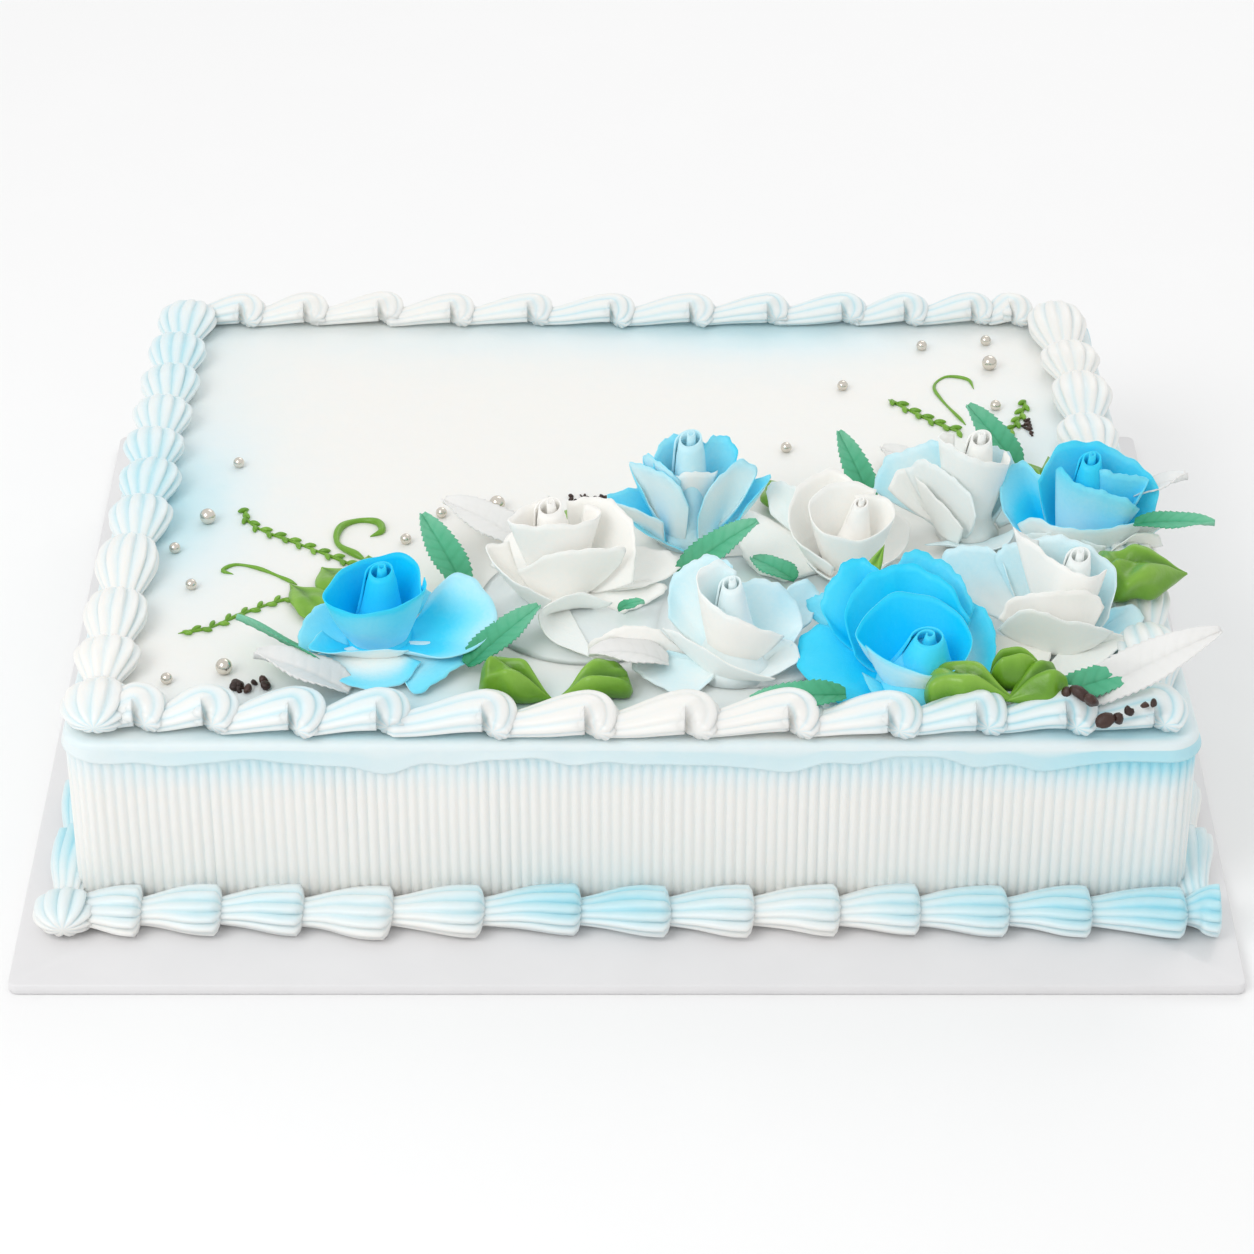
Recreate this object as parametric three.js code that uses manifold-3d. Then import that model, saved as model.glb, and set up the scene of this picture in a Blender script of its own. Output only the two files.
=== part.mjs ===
// Rose-decorated layer cake on its board.
// Millimetres, +Z up. The origin is the centre of the board's underside and the cake's front faces -Y.
// Heights inside a rose or on a leaf are above the icing's top, and angles are in degrees from +X.

import * as THREE from "three";
import { mergeVertices } from "three/addons/utils/BufferGeometryUtils.js";
import Module from "manifold-3d";

const wasm = await Module();
wasm.setup();
const { Manifold, Mesh } = wasm;

// Driving dimensions
const GAP = 0.35;
const BOARD = { width: 411.5, depth: 358, thick: 4, corner: 3 };
const CAKE = { width: 380, depth: 300, height: 68, x: 1.5, y: 13, corner: 12 };
const TAPER = { left: 7, right: 12 };
const COMB = { pitch: 24, depth: 0.9 };
const TOP = BOARD.thick + CAKE.height;

// Rows of piped star shells. Each row runs from its tail end to its head end, and its pitches are
// uneven as piped. base is the height that it stands on, and sag bows the row outward.
const ON_CAKE = TOP + GAP;
const ON_BOARD = BOARD.thick + GAP;
const SHELL_OVERLAP = 0.28;
const ROWS = [
  {
    name: "border_top_front", from: [-172, -123], to: [188, -123], base: ON_CAKE, width: 25, height: 12.5,
    ribs: 3, sag: 6, corner: { x: -177, y: -97, length: 39 },
    crumbs: { at: [159, -128], spread: [13, 3], count: 6, size: 2.8, low: 8.5 },
    pitches: [21, 23, 29, 29, 35, 34, 33, 34, 33, 29, 30, 29],
  },
  {
    name: "border_top_left", from: [-177, -104], to: [-171, 155], base: ON_CAKE, width: 23, height: 11.5,
    ribs: 2, sag: 0, pitches: [22, 31, 35, 27, 25, 23, 23, 24, 25, 25],
  },
  {
    name: "border_top_right", from: [179, -104], to: [167, 155], base: ON_CAKE, width: 23, height: 11.5,
    ribs: 2, sag: 0, pitches: [30, 30, 30, 28, 28, 27, 32, 23, 32],
  },
  {
    name: "border_top_back", from: [-165, 151], to: [160, 151], base: ON_CAKE, width: 21, height: 10.5,
    ribs: 2, sag: 0, pitches: [25, 25, 29, 28, 30, 32, 31, 30, 29, 24, 26, 15],
  },
  {
    name: "border_low_front", from: [-186, -145], to: [201, -145], base: ON_BOARD, width: 23, height: 13,
    ribs: 2, sag: 0, corner: { x: -189, y: -127, length: 30 },
    pitches: [23, 27, 28, 30, 31, 33, 30, 28, 29, 27, 30, 28, 32, 11],
  },
  {
    name: "border_low_left", from: [-190, -130], to: [-184, 164], base: ON_BOARD, width: 20, height: 12,
    ribs: 2, sag: 0, pitches: [28, 29, 30, 28, 29, 27, 28, 27, 28, 27],
  },
  {
    name: "border_low_right", from: [193, -130], to: [182, 164], base: ON_BOARD, width: 20, height: 12,
    ribs: 2, sag: 0, pitches: [27, 28, 27, 29, 28, 30, 27, 28, 29, 28],
  },
  {
    name: "border_low_back", from: [-173, 165], to: [172, 165], base: ON_BOARD, width: 20, height: 12,
    ribs: 2, sag: 0, pitches: [27, 29, 28, 30, 28, 31, 29, 28, 30, 27, 29, 28],
  },
];

// Sugar pearls, as centres on the icing
const PEARL = { small: 4.1, big: 5.8, sunk: 0.4 };
const SMALL_PEARLS = [
  [-143, 42], [-161, -17], [-153, -41], [-156, -100], [-79, -11], [-67, 7], [59, 53], [82, 99],
  [114, 130], [139, 134], [139, 84],
];
const BIG_PEARLS = [[-151, 3], [-137, -94], [-47, 12], [139, 115]];

// Green piped vines: leafy ones zigzag, plain ones are smooth curls
const VINES = [
  { points: [[-137, 12], [-138, 6], [-131, -3], [-119, -11], [-106, -20], [-95, -28]], leafy: true, radius: 1.6 },
  { points: [[-155, -70], [-145, -67], [-134, -58], [-122, -50], [-112, -47]], leafy: true, radius: 1.5 },
  { points: [[99, 91], [107, 82], [116, 73], [125, 66]], leafy: true, radius: 1.7 },
  { points: [[151, 90], [148, 78], [143, 66], [141, 56]], leafy: true, radius: 1.7 },
  { points: [[-93, -23], [-103, -13], [-103, -2], [-97, 3], [-90, 2], [-88, -4], [-92, -7]], radius: 1.6 },
  { points: [[-116, -39], [-128, -30], [-138, -26], [-143, -30], [-139, -32]], radius: 1 },
  { points: [[127, 72], [119, 91], [117, 101], [122, 108], [130, 106], [132, 99]], radius: 0.9 },
];

// Dark cookie crumbs, in clusters of centre, spread and count
const CRUMBS = [
  { at: [-127, -103], spread: [7, 4], count: 5, size: 2.3 },
  { at: [-14, 19], spread: [9, 2.4], count: 5, size: 1.4 },
  { at: [150, 69], spread: [2, 7], count: 4, size: 1.9 },
];

// Low cream mounds that the roses stand in: centre, radius and height
const MOUNDS = [
  [-14, -52, 38, 2.5], [42, -62, 42, 2.5], [94, -64, 42, 2.5], [134, -46, 33, 2.5],
];

// Roses. A petal is a sheet from the rose's foot to a rim drawn through places x, y and height about the
// point of the icing below the rose. cup bends its profile down (1) or up (-1). A bud is a rolled cone.
const ROSES = [
  {
    name: "rose_right_white", at: [147, -78], foot: [2, 2], color: 0xf3f4f4,
    bud: { lean: [5, 5], wide: 8, tip: 4.8, height: 35 },
    petals: [
      { cup: 0.1, rim: [[-6, 16, 33], [-15, 15, 38], [-10, 11, 36], [-1, 3, 33], [9, -3, 30.5],
        [16, 2, 29]] },
      { cup: 0.25, rim: [[-21, -9, 17], [-16, -5, 23], [-5, -7, 27], [11, -6, 25.5], [15, -6, 20]] },
      { cup: 0.25, rim: [[-21, -8, 12], [-16, -11, 20], [-10, -13, 24], [0, -14, 20.5], [9, -14, 18],
        [18, -12, 14]] },
      { cup: 0.35, rim: [[-34, 14, 12], [-38, 24, 22], [-31, 24, 26], [-20, 19, 26], [-16, 12, 20]] },
      { cup: 0.2, rim: [[-21, 17, 25], [-18, 18, 29], [-13, 18, 31], [-9, 14, 27]] },
      { cup: 0.35, rim: [[-9, 17, 32], [-1, 15, 35.5], [12, 11, 33], [20, 6, 26], [17, -4, 14]] },
      { cup: -0.2, rim: [[17, -8, 11], [23, -8, 8], [11, -19, 4], [0, -27, 2.5], [-4, -18, 5]] },
      { cup: -0.1, rim: [[-21, -8, 10], [-26, -14, 6], [-18, -20, 3], [-4, -17, 4]] },
      { cup: 0.1, rim: [[17, 2, 13], [27, 8, 12], [30, 3, 9], [21, -8, 5]] },
    ],
  },
  {
    name: "rose_big_blue", at: [97, -100], foot: [1, -4], color: 0x19a9ee,
    bud: { lean: [3, 0], wide: 13.5, tip: 6.5, height: 22.5 },
    petals: [
      { cup: 0.4, rim: [[-14, -7, 15], [-20, 1, 19], [-13, 12, 23], [-3, 15, 26.5], [10, 12, 25],
        [19, 0, 19.5], [14, -12, 14.5], [3, -16, 13.5], [-10, -11, 16], [-17, -4, 18]] },
      { cup: 0.45, rim: [[-20, 0, 11], [-23, 13, 20], [-16, 23, 27], [-2, 26, 31], [11, 18, 29.5],
        [19, 8, 20]] },
      { cup: 0.4, rim: [[-27, 12, 12], [-31, 21, 19], [-25, 27, 28], [-18, 30, 31], [-11, 26, 29]] },
      { cup: 0.4, rim: [[-6, 26, 29], [1, 32, 33], [14, 27, 29], [21, 16, 20]] },
      { cup: 0.35, rim: [[17, 22, 21], [25, 17, 18], [28, 7, 12], [25, -6, 8], [18, -13, 6]] },
      { cup: 0.3, rim: [[-34, 28, 8], [-35, 32, 13], [-27, 30, 17]] },
      { cup: -0.2, rim: [[-28, 19, 11], [-37, 16, 9], [-39, 1, 5.5], [-30, -12, 3], [-20, -18, 2],
        [-10, -18, 3]] },
      { cup: -0.2, rim: [[-18, -8, 9], [-13, -17, 6], [-4, -19, 4], [8, -18, 4]] },
      { cup: 0.3, rim: [[-5, -17, 3], [6, -23, 1.6], [15, -15, 4]] },
      { cup: 0.2, rim: [[8, -17, 4], [19, -14, 5], [25, -3, 6]] },
    ],
  },
  {
    name: "rose_left_blue", at: [-85, -75], foot: [0, -2], color: 0x25a6f0,
    bud: { lean: [1, 2], wide: 9.5, tip: 5.5, height: 31 },
    petals: [
      { cup: 0.3, rim: [[15, -4, 23], [13, 9, 27], [5, 13, 28], [-9, 6, 27.5], [-18, -10, 25],
        [-8, -19, 24], [6, -15, 24], [16, -6, 25], [16, 0, 26]] },
      { cup: 0.3, rim: [[17, 9, 13], [28, 13, 20], [40, 1, 14], [36, -13, 8], [23, -21, 7],
        [9, -17, 8]] },
      { cup: 0.2, rim: [[-19, -9, 10], [-23, -17, 8.5], [-9, -19, 8.5], [11, -18, 9]] },
      { cup: 0.2, rim: [[-14, 6, 15], [-23, -1, 13], [-27, -10, 10], [-26, -16, 5]] },
      { cup: 0.1, rim: [[-22, -14, 4], [-15, -27, 3], [-2, -33, 2.5], [10, -29, 3.5], [15, -20, 5]] },
      { cup: -0.2, rim: [[36, -10, 6], [29, -21, 4.5], [15, -34, 2], [9, -27, 3]] },
      { cup: 0.1, rim: [[-21, 5, 9], [-13, 20, 12], [5, 24, 13], [20, 14, 9]] },
    ],
  },
  {
    name: "rose_spiral_white", at: [76, -26], foot: [2, -3], color: 0xf4f3f1,
    bud: { lean: [4, 2], wide: 8, tip: 3.2, height: 28.5 },
    petals: [
      { cup: 0.3, rim: [[4, 5, 27], [14, 5, 26], [18, -2, 24], [15, -9, 21.5], [5, -14, 19],
        [-8, -11, 21], [-12, 1, 25], [-5, 8, 29], [4, 9, 29], [12, 7, 27]] },
      { cup: 0.3, rim: [[6, 12, 26], [-3, 18, 29], [-14, 13, 26], [-19, 3, 22], [-17, -9, 17],
        [-4, -19, 11]] },
      { cup: 0.2, rim: [[-25, 16, 12], [-26, 23, 18], [-21, 22, 22], [-14, 16, 21]] },
      { cup: 0.1, rim: [[-26, 20, 8], [-35, 20, 10], [-37, 10, 7], [-32, -8, 4], [-21, -16, 3]] },
      { cup: 0.2, rim: [[17, 15, 15], [24, 9, 12], [22, 0, 7], [13, -10, 5]] },
      { cup: 0.2, rim: [[-13, -13, 9], [-4, -20, 7], [6, -19, 8]] },
      { cup: 0.1, rim: [[-14, 19, 12], [2, 25, 15], [17, 19, 12]] },
    ],
  },
  {
    name: "rose_front_white", at: [-26, -43], foot: [2, -4], color: 0xf5f4f2,
    bud: { lean: [-3, 3], wide: 9, tip: 5.5, height: 38 },
    petals: [
      { cup: 0.1, rim: [[11, 4, 34], [17, 2, 33], [13, -5, 32], [-2, -8, 32], [-15, -6, 33], [-9, 1, 35],
        [-1, 5, 36]] },
      { cup: 0.25, rim: [[-12, -13, 17], [-1, -13, 23], [13, -13, 26], [25, -11, 25], [24, -10, 18]] },
      { cup: 0.2, rim: [[5, 9, 32], [17, 8, 34], [27, 0, 30], [29, -8, 23], [28, -12, 11]] },
      { cup: 0.35, rim: [[-15, 0, 20], [-23, -3, 20], [-14, -16, 15], [0, -22, 11]] },
      { cup: 0.7, rim: [[21, -21, 9], [9, -22, 13], [-4, -30, 11], [1, -40, 5.5], [16, -48, 3]] },
      { cup: 0.1, rim: [[28, 12, 12], [40, 10, 10], [45, 3, 8], [32, -8, 7]] },
      { cup: -0.1, rim: [[33, -2, 7], [40, -7, 5], [25, -19, 3]] },
      { cup: 0.1, rim: [[-22, 4, 8], [-14, 20, 13], [6, 24, 14], [20, 14, 10]] },
    ],
  },
  {
    name: "rose_upper_blue", at: [22, -8], foot: [0, 0], color: 0x6fc4ee,
    bud: { lean: [0, 0], wide: 7.5, tip: 5.5, height: 45 },
    petals: [
      { cup: 0.3, rim: [[2, -1, 33], [7, 4, 38.5], [12, 6, 39], [17, 3, 36], [16, 0, 30]] },
      { cup: 0.3, rim: [[-13, -2, 30], [-11, 2, 36.5], [-6, 6, 39], [2, 7, 39], [8, 5, 34]] },
      { cup: 0.2, rim: [[-15, 1, 26], [-16, 3, 33], [-8, -5, 33], [-3, -6, 27]] },
      { cup: 0.3, rim: [[-16, -2, 20], [-21, 3, 29], [-12, -3, 31], [-5, -8, 29], [0, -9, 19]] },
      { cup: 0.3, rim: [[3, -11, 15], [7, -8, 26], [17, -2, 33], [24, -2, 30], [20, -4, 21]] },
      { cup: 0.3, rim: [[-10, -3, 27], [0, -6, 31], [10, -3, 30]] },
      { cup: 0.3, rim: [[-17, 5, 19], [-24, 2, 19], [-29, -1, 17], [-18, -6, 16], [-9, -9, 12]] },
      { cup: 0.1, rim: [[-22, -2, 10], [-14, -8, 6], [0, -12, 1.5]] },
      { cup: 0.3, rim: [[20, 0, 24], [29, -1, 27], [21, -5, 17], [15, -9, 9], [5, -11, 3]] },
      { cup: 0.2, rim: [[-20, 8, 12], [-12, 19, 19], [8, 21, 20], [22, 10, 14]] },
    ],
  },
  {
    name: "rose_right_blue", at: [160, -18], foot: [0, 1], color: 0x3bb0f2,
    bud: { lean: [3, 1], wide: 8, tip: 4.5, height: 40.5 },
    petals: [
      { cup: 0.35, rim: [[-15, 3, 28], [-8, 8, 39], [5, 9, 41], [19, 6, 35], [27, 1, 27], [26, -3, 15]] },
      { cup: 0.35, rim: [[-13, 8, 27], [-20, 14, 30], [-27, 9, 25], [-27, 5, 17], [-22, -1, 10]] },
      { cup: 0.3, rim: [[-9, 2, 33], [-8, 0, 36], [-1, -5, 32], [16, -10, 28], [20, -7, 23]] },
      { cup: 0.3, rim: [[3, 1, 34], [10, -2, 35], [23, 0, 31], [20, -4, 26]] },
      { cup: 0.5, rim: [[-22, -4, 15], [-18, -8, 20], [-8, -15, 20], [6, -15, 20], [22, -9, 19]] },
      { cup: 0.3, rim: [[-22, -6, 12], [-14, -12, 16], [-4, -14, 16], [8, -18, 14]] },
      { cup: 0.2, rim: [[6, -14, 15], [24, -6, 19], [32, -4, 17], [24, -8, 12]] },
      { cup: 0.2, rim: [[9, -16, 10], [18, -13, 16], [27, -11, 14], [29, -9, 9]] },
      { cup: 0.2, rim: [[-20, 8, 14], [-6, 20, 24], [12, 20, 25], [24, 8, 18]] },
    ],
  },
  {
    name: "rose_centre_white", at: [34, -88], foot: [2, -2], color: 0xeef5f7,
    bud: { lean: [-1, 2], wide: 10, tip: 4.3, height: 34.5 },
    petals: [
      { cup: 0.25, rim: [[3, 4, 35], [-3, 6, 37.5], [-10, 2, 36], [-9, -5, 31], [-1, -12, 28],
        [9, -13, 24], [19, -11, 18]] },
      { cup: 0.35, rim: [[-20, 8, 14], [-19, 17, 22], [-12, 19, 29], [-5, 19, 32], [2, 14, 30]] },
      { cup: 0.35, rim: [[4, 12, 25], [13, 12, 26], [22, 12, 20], [26, 7, 12], [22, -2, 8]] },
      { cup: 0.3, rim: [[18, 19, 15], [26, 24, 18], [32, 23, 14], [29, 12, 8]] },
      { cup: 0.3, rim: [[-22, 2, 13], [-20, -4, 16], [-9, -12, 14.5], [5, -20, 10.5], [16, -21, 7]] },
      { cup: 0.4, rim: [[-46, -4, 4], [-47, -3, 10], [-36, -1, 15], [-23, -1, 15]] },
      { cup: -0.3, rim: [[-20, -3, 7], [-30, -4, 5], [-32, -9, 4], [-25, -17, 2.5], [-14, -22, 2],
        [-6, -17, 4]] },
      { cup: 0.1, rim: [[12, -5, 12], [22, -1, 10], [24, -8, 6], [13, -16, 4]] },
    ],
  },
  {
    name: "rose_upper_white", at: [122, -6], foot: [0, 1], color: 0xe9f4f8,
    bud: { lean: [3, 1], wide: 7.5, tip: 5, height: 42 },
    petals: [
      { cup: 0.2, rim: [[-6, 5, 40], [-12, 1, 40.5], [-4, -6, 38], [5, -8, 36], [13, -4, 33],
        [12, 4, 33]] },
      { cup: 0.3, rim: [[-23, 4, 25], [-17, 2, 30], [-8, -5, 29], [-1, -12, 24], [1, -17, 18]] },
      { cup: 0.3, rim: [[-29, 5, 17], [-24, 8, 23], [-17, 0, 22], [-9, -8, 17], [-3, -14, 11]] },
      { cup: 0.3, rim: [[-34, 10, 13], [-29, 18, 22], [-20, 16, 27], [-11, 14, 31], [-4, 10, 29]] },
      { cup: 0.3, rim: [[4, 9, 33], [11, 9, 31], [16, 7, 26], [14, 0, 18]] },
      { cup: 0.1, rim: [[-16, -12, 4], [-4, -17, 6], [11, -17, 6], [17, -9, 9]] },
      { cup: 0.1, rim: [[-12, 16, 12], [6, 23, 17], [22, 13, 13], [22, 0, 9]] },
    ],
  },
];

// Leaves run from base to tip. roll turns a leaf about its length, bend arches it, ruffle waves its edge.
const TEAL = { color: 0x5fb58c, thick: 0.9, ruffle: 0.4, teeth: 0.13 };
const PALE = { color: 0xf0eff0, thick: 0.9, ruffle: 0.6, teeth: 0.1 };
const LEAVES = [
  { name: "leaf_teal_1", kind: TEAL, base: [-57, -46, 3], tip: [-72.5, -21, 18], width: 14, bend: 1 },
  { name: "leaf_teal_2", kind: TEAL, base: [-54, -96, 4], tip: [-30, -73, 13], width: 14, bend: 1 },
  { name: "leaf_teal_3", kind: TEAL, base: [-101, -95, 1.6], tip: [-133.5, -78, 12], width: 12, roll: 38, bend: 1 },
  { name: "leaf_teal_4", kind: TEAL, base: [18, -42, 5], tip: [46, -34, 23], width: 14, roll: 15, bend: 2 },
  { name: "leaf_teal_5", kind: TEAL, base: [58, -50, 9], tip: [44, -33, 7], width: 12, bend: 1 },
  { name: "leaf_teal_6", kind: TEAL, base: [88, 10, 4], tip: [76.5, 30, 22], width: 12, bend: 1 },
  { name: "leaf_teal_7", kind: TEAL, base: [143, 34, 4], tip: [125, 52, 20], width: 15, bend: 1 },
  { name: "leaf_teal_8", kind: TEAL, base: [73, -121, 9], tip: [41, -122, 7.5], width: 13, roll: -12, bend: 1 },
  { name: "leaf_teal_9", kind: TEAL, base: [141, -119, 7], tip: [175, -117, 18], width: 12, roll: 30, bend: 1 },
  { name: "leaf_teal_10", kind: TEAL, base: [178, -30, 19.5], tip: [205, -37, 24], width: 12, bend: 1 },
  { name: "leaf_teal_11", kind: TEAL, base: [-3, -66, 7], tip: [6, -64, 9], width: 6, bend: 1 },
  { name: "leaf_pale_1", kind: PALE, base: [-94, -108, 1], tip: [-126, -99, 10], width: 24, roll: 12, bend: 2 },
  { name: "leaf_pale_2", kind: PALE, base: [-34, -18, 2], tip: [-66, 4, 8], width: 19, bend: 2 },
  { name: "leaf_pale_3", kind: PALE, base: [112, 30, 3], tip: [94, 48, 4], width: 14, bend: 1 },
  { name: "leaf_pale_4", kind: PALE, base: [176, -14, 19], tip: [199, -7, 25], width: 19, roll: -20, bend: 1 },
  { name: "leaf_pale_5", kind: PALE, base: [150, -119, 5], tip: [197, -117, 32], width: 17, roll: 30, bend: 2 },
  { name: "leaf_pale_6", kind: PALE, base: [14, -96, 5], tip: [-13, -97, 9], width: 16, bend: 3 },
];

// Piped leaves of icing, fat and drawn out to a tip, with a fold down the middle
const PIPED = [
  { name: "leaf_piped_1", base: [-95, -51, 0.5], tip: [-108, -28, 0.5], wide: 19, high: 4 },
  { name: "leaf_piped_2", base: [-103, -64, 0.5], tip: [-118.5, -39, 0.5], wide: 15, high: 4 },
  { name: "leaf_piped_3", base: [-50, -105, 0.5], tip: [-25, -112, 1], wide: 17, high: 14 },
  { name: "leaf_piped_4", base: [2, -106, 0.5], tip: [-24, -112, 1], wide: 15, high: 11 },
  { name: "leaf_piped_5", base: [62, 3, 2], tip: [50, 28, 3], wide: 16, high: 6 },
  { name: "leaf_piped_6", base: [66, 5, 3], tip: [75, 27, 5], wide: 11, high: 6 },
  { name: "leaf_piped_7", base: [150, 15, 2], tip: [144, 34, 7], wide: 11, high: 6 },
  { name: "leaf_piped_8", base: [162, 13, 4], tip: [168, 34, 12], wide: 15, high: 7 },
  { name: "leaf_piped_9", base: [163, -60, 9], tip: [194.5, -52, 13], wide: 26, high: 14 },
  { name: "leaf_piped_10", base: [100, -112, 2], tip: [131, -123, 8], wide: 17, high: 13 },
  { name: "leaf_piped_11", base: [146, -114, 3], tip: [126, -123, 8], wide: 17, high: 13 },
  { name: "leaf_piped_12", base: [-20, -16, 0.5], tip: [-19, 13, 0.5], wide: 17, high: 4 },
  { name: "leaf_piped_13", base: [-90, -36, 0.5], tip: [-92, -20, 0.5], wide: 9, high: 3 },
  { name: "leaf_piped_14", base: [83, -59, 10], tip: [89, -52, 25], wide: 8, high: 4 },
  { name: "leaf_piped_15", base: [-27, -20, 0.5], tip: [-33, 9, 0.5], wide: 9, high: 4 },
  { name: "leaf_piped_16", base: [-13, -14, 0.5], tip: [-6, 13, 0.5], wide: 9, high: 4 },
  { name: "leaf_piped_17", base: [155, 13, 3], tip: [154, 34, 9], wide: 9, high: 7 },
  { name: "leaf_piped_18", base: [121, -111, 6], tip: [147, -112, 8], wide: 10, high: 13 },
];

const CREAM = 0xf3f6f7;
const LEAF_GREEN = 0x7fb13c;

const rad = THREE.MathUtils.degToRad;
const v3 = (x, y, z) => new THREE.Vector3(x, y, z);

// Seeded random numbers between 0 and 1
function seeded(seed) {
  let state = seed;
  return () => {
    state = (state * 16807) % 2147483647;
    return state / 2147483647;
  };
}

// A closed solid from vertices and outward triangles
function toSolid(vertices, triangles) {
  const vertProperties = new Float32Array(vertices.flatMap((v) => [v.x, v.y, v.z]));
  const triVerts = new Uint32Array(triangles.flat());
  return new Manifold(new Mesh({ numProp: 3, vertProperties, triVerts }));
}

// A three.js geometry as a solid
function fromGeometry(geometry) {
  const plain = geometry.clone();
  plain.deleteAttribute("normal");
  plain.deleteAttribute("uv");
  const merged = mergeVertices(plain, 1e-4);
  const vertProperties = new Float32Array(merged.attributes.position.array);
  const triVerts = new Uint32Array(merged.index.array);
  return new Manifold(new Mesh({ numProp: 3, vertProperties, triVerts }));
}

// A solid through rings of points, each ring counter-clockwise seen from the end it runs to.
// A ring of one point is an apex.
function loft(rings) {
  const vertices = rings.flat();
  const triangles = [];
  let start = 0;
  for (let r = 0; r + 1 < rings.length; r += 1) {
    const low = rings[r].length;
    const high = rings[r + 1].length;
    const next = start + low;
    const count = Math.max(low, high);
    for (let i = 0; i < count; i += 1) {
      const j = (i + 1) % count;
      if (low > 1) {
        triangles.push([start + i, start + j, next + (high > 1 ? j : 0)]);
      }
      if (high > 1) {
        triangles.push([start + (low > 1 ? i : 0), next + j, next + i]);
      }
    }
    start = next;
  }
  return toSolid(vertices, triangles);
}

// A closed sheet about the surface middle(u, v), u and v from 0 to 1, both faces split alike
function sheet(across, along, middle, thickness) {
  const step = 0.004;
  const faces = [[], []];
  for (let i = 0; i <= across; i += 1) {
    for (let j = 0; j <= along; j += 1) {
      const u = THREE.MathUtils.clamp(i / across, step, 1 - step);
      const v = THREE.MathUtils.clamp(j / along, step, 1 - step);
      const du = middle(u + step, v).sub(middle(u - step, v));
      const dv = middle(u, v + step).sub(middle(u, v - step));
      const offset = du.cross(dv).setLength(thickness(u, v) / 2);
      const centre = middle(i / across, j / along);
      faces[0].push(centre.clone().add(offset));
      faces[1].push(centre.clone().sub(offset));
    }
  }
  const row = along + 1;
  const under = (across + 1) * row;
  const triangles = [];
  for (let i = 0; i < across; i += 1) {
    for (let j = 0; j < along; j += 1) {
      const a = i * row + j;
      const b = a + row;
      triangles.push([a, b, b + 1], [a, b + 1, a + 1]);
      triangles.push([under + b + 1, under + b, under + a], [under + a + 1, under + b + 1, under + a]);
    }
  }
  const edge = [];
  for (let i = 0; i < across; i += 1) edge.push(i * row);
  for (let j = 0; j < along; j += 1) edge.push(across * row + j);
  for (let i = across; i > 0; i -= 1) edge.push(i * row + along);
  for (let j = along; j > 0; j -= 1) edge.push(j);
  edge.forEach((a, k) => {
    const b = edge[(k + 1) % edge.length];
    triangles.push([a, under + a, b], [under + a, under + b, b]);
  });
  return toSolid(faces.flat(), triangles);
}

const fuse = (solids) => Manifold.union(solids);

// The largest single piece of a solid, with any pocket inside it filled
function largest(solid) {
  const pieces = solid.decompose();
  return pieces.reduce((best, piece) => (piece.volume() > best.volume() ? piece : best));
}

// The board, a thin slab with rounded upright corners
function boardSolid() {
  const { width, depth, thick, corner } = BOARD;
  const outline = roundedOutline(width / 2, depth / 2, corner, 2);
  const ring = (z) => outline.map((p) => v3(p.x, p.y, z));
  return loft([[v3(0, 0, 0)], ring(0), ring(thick), [v3(0, 0, thick)]]);
}

// A counter-clockwise rounded rectangle about the origin, with steps points to each corner
function roundedOutline(halfX, halfY, corner, steps) {
  const points = [];
  const signs = [[1, 1], [-1, 1], [-1, -1], [1, -1]];
  signs.forEach(([sx, sy], quarter) => {
    for (let k = 0; k <= steps; k += 1) {
      const angle = (Math.PI / 2) * (quarter + k / steps);
      const x = sx * (halfX - corner) + corner * Math.cos(angle);
      const y = sy * (halfY - corner) + corner * Math.sin(angle);
      points.push(new THREE.Vector2(x, y));
    }
  });
  return points;
}

// A point of the cake's outline at height z. The outline draws in towards the back.
function taperedPoint(p, z) {
  const taper = p.x < 0 ? TAPER.left : TAPER.right;
  const share = (taper * (p.y + CAKE.depth / 2)) / CAKE.depth / (CAKE.width / 2);
  return v3(CAKE.x + p.x * (1 - share), CAKE.y + p.y, z);
}

// A slab of the cake between two heights, with the given outline at its foot
function slab(outline, low, high) {
  const ring = (z) => outline.map((p) => taperedPoint(p, z));
  const middle = (z) => [v3(CAKE.x, CAKE.y, z)];
  return loft([middle(low), ring(low), ring(high), middle(high)]);
}

// The iced cake, whose combed sides have a ridge and a groove to each tooth
function cakeSolid() {
  const dense = roundedOutline(CAKE.width / 2, CAKE.depth / 2, CAKE.corner, 6);
  const path = new THREE.CurvePath();
  dense.forEach((p, k) => path.add(new THREE.LineCurve(p, dense[(k + 1) % dense.length])));
  const count = 2 * Math.round(path.getLength() / COMB.pitch);
  const outer = path.getSpacedPoints(count).slice(0, count);
  const ridged = outer.map((p, k) => {
    const before = outer[(k + count - 1) % count];
    const after = outer[(k + 1) % count];
    const inward = new THREE.Vector2(before.y - after.y, after.x - before.x).normalize();
    return p.clone().addScaledVector(inward, k % 2 ? COMB.depth : 0);
  });
  return slab(ridged, ON_BOARD, TOP);
}

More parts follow.
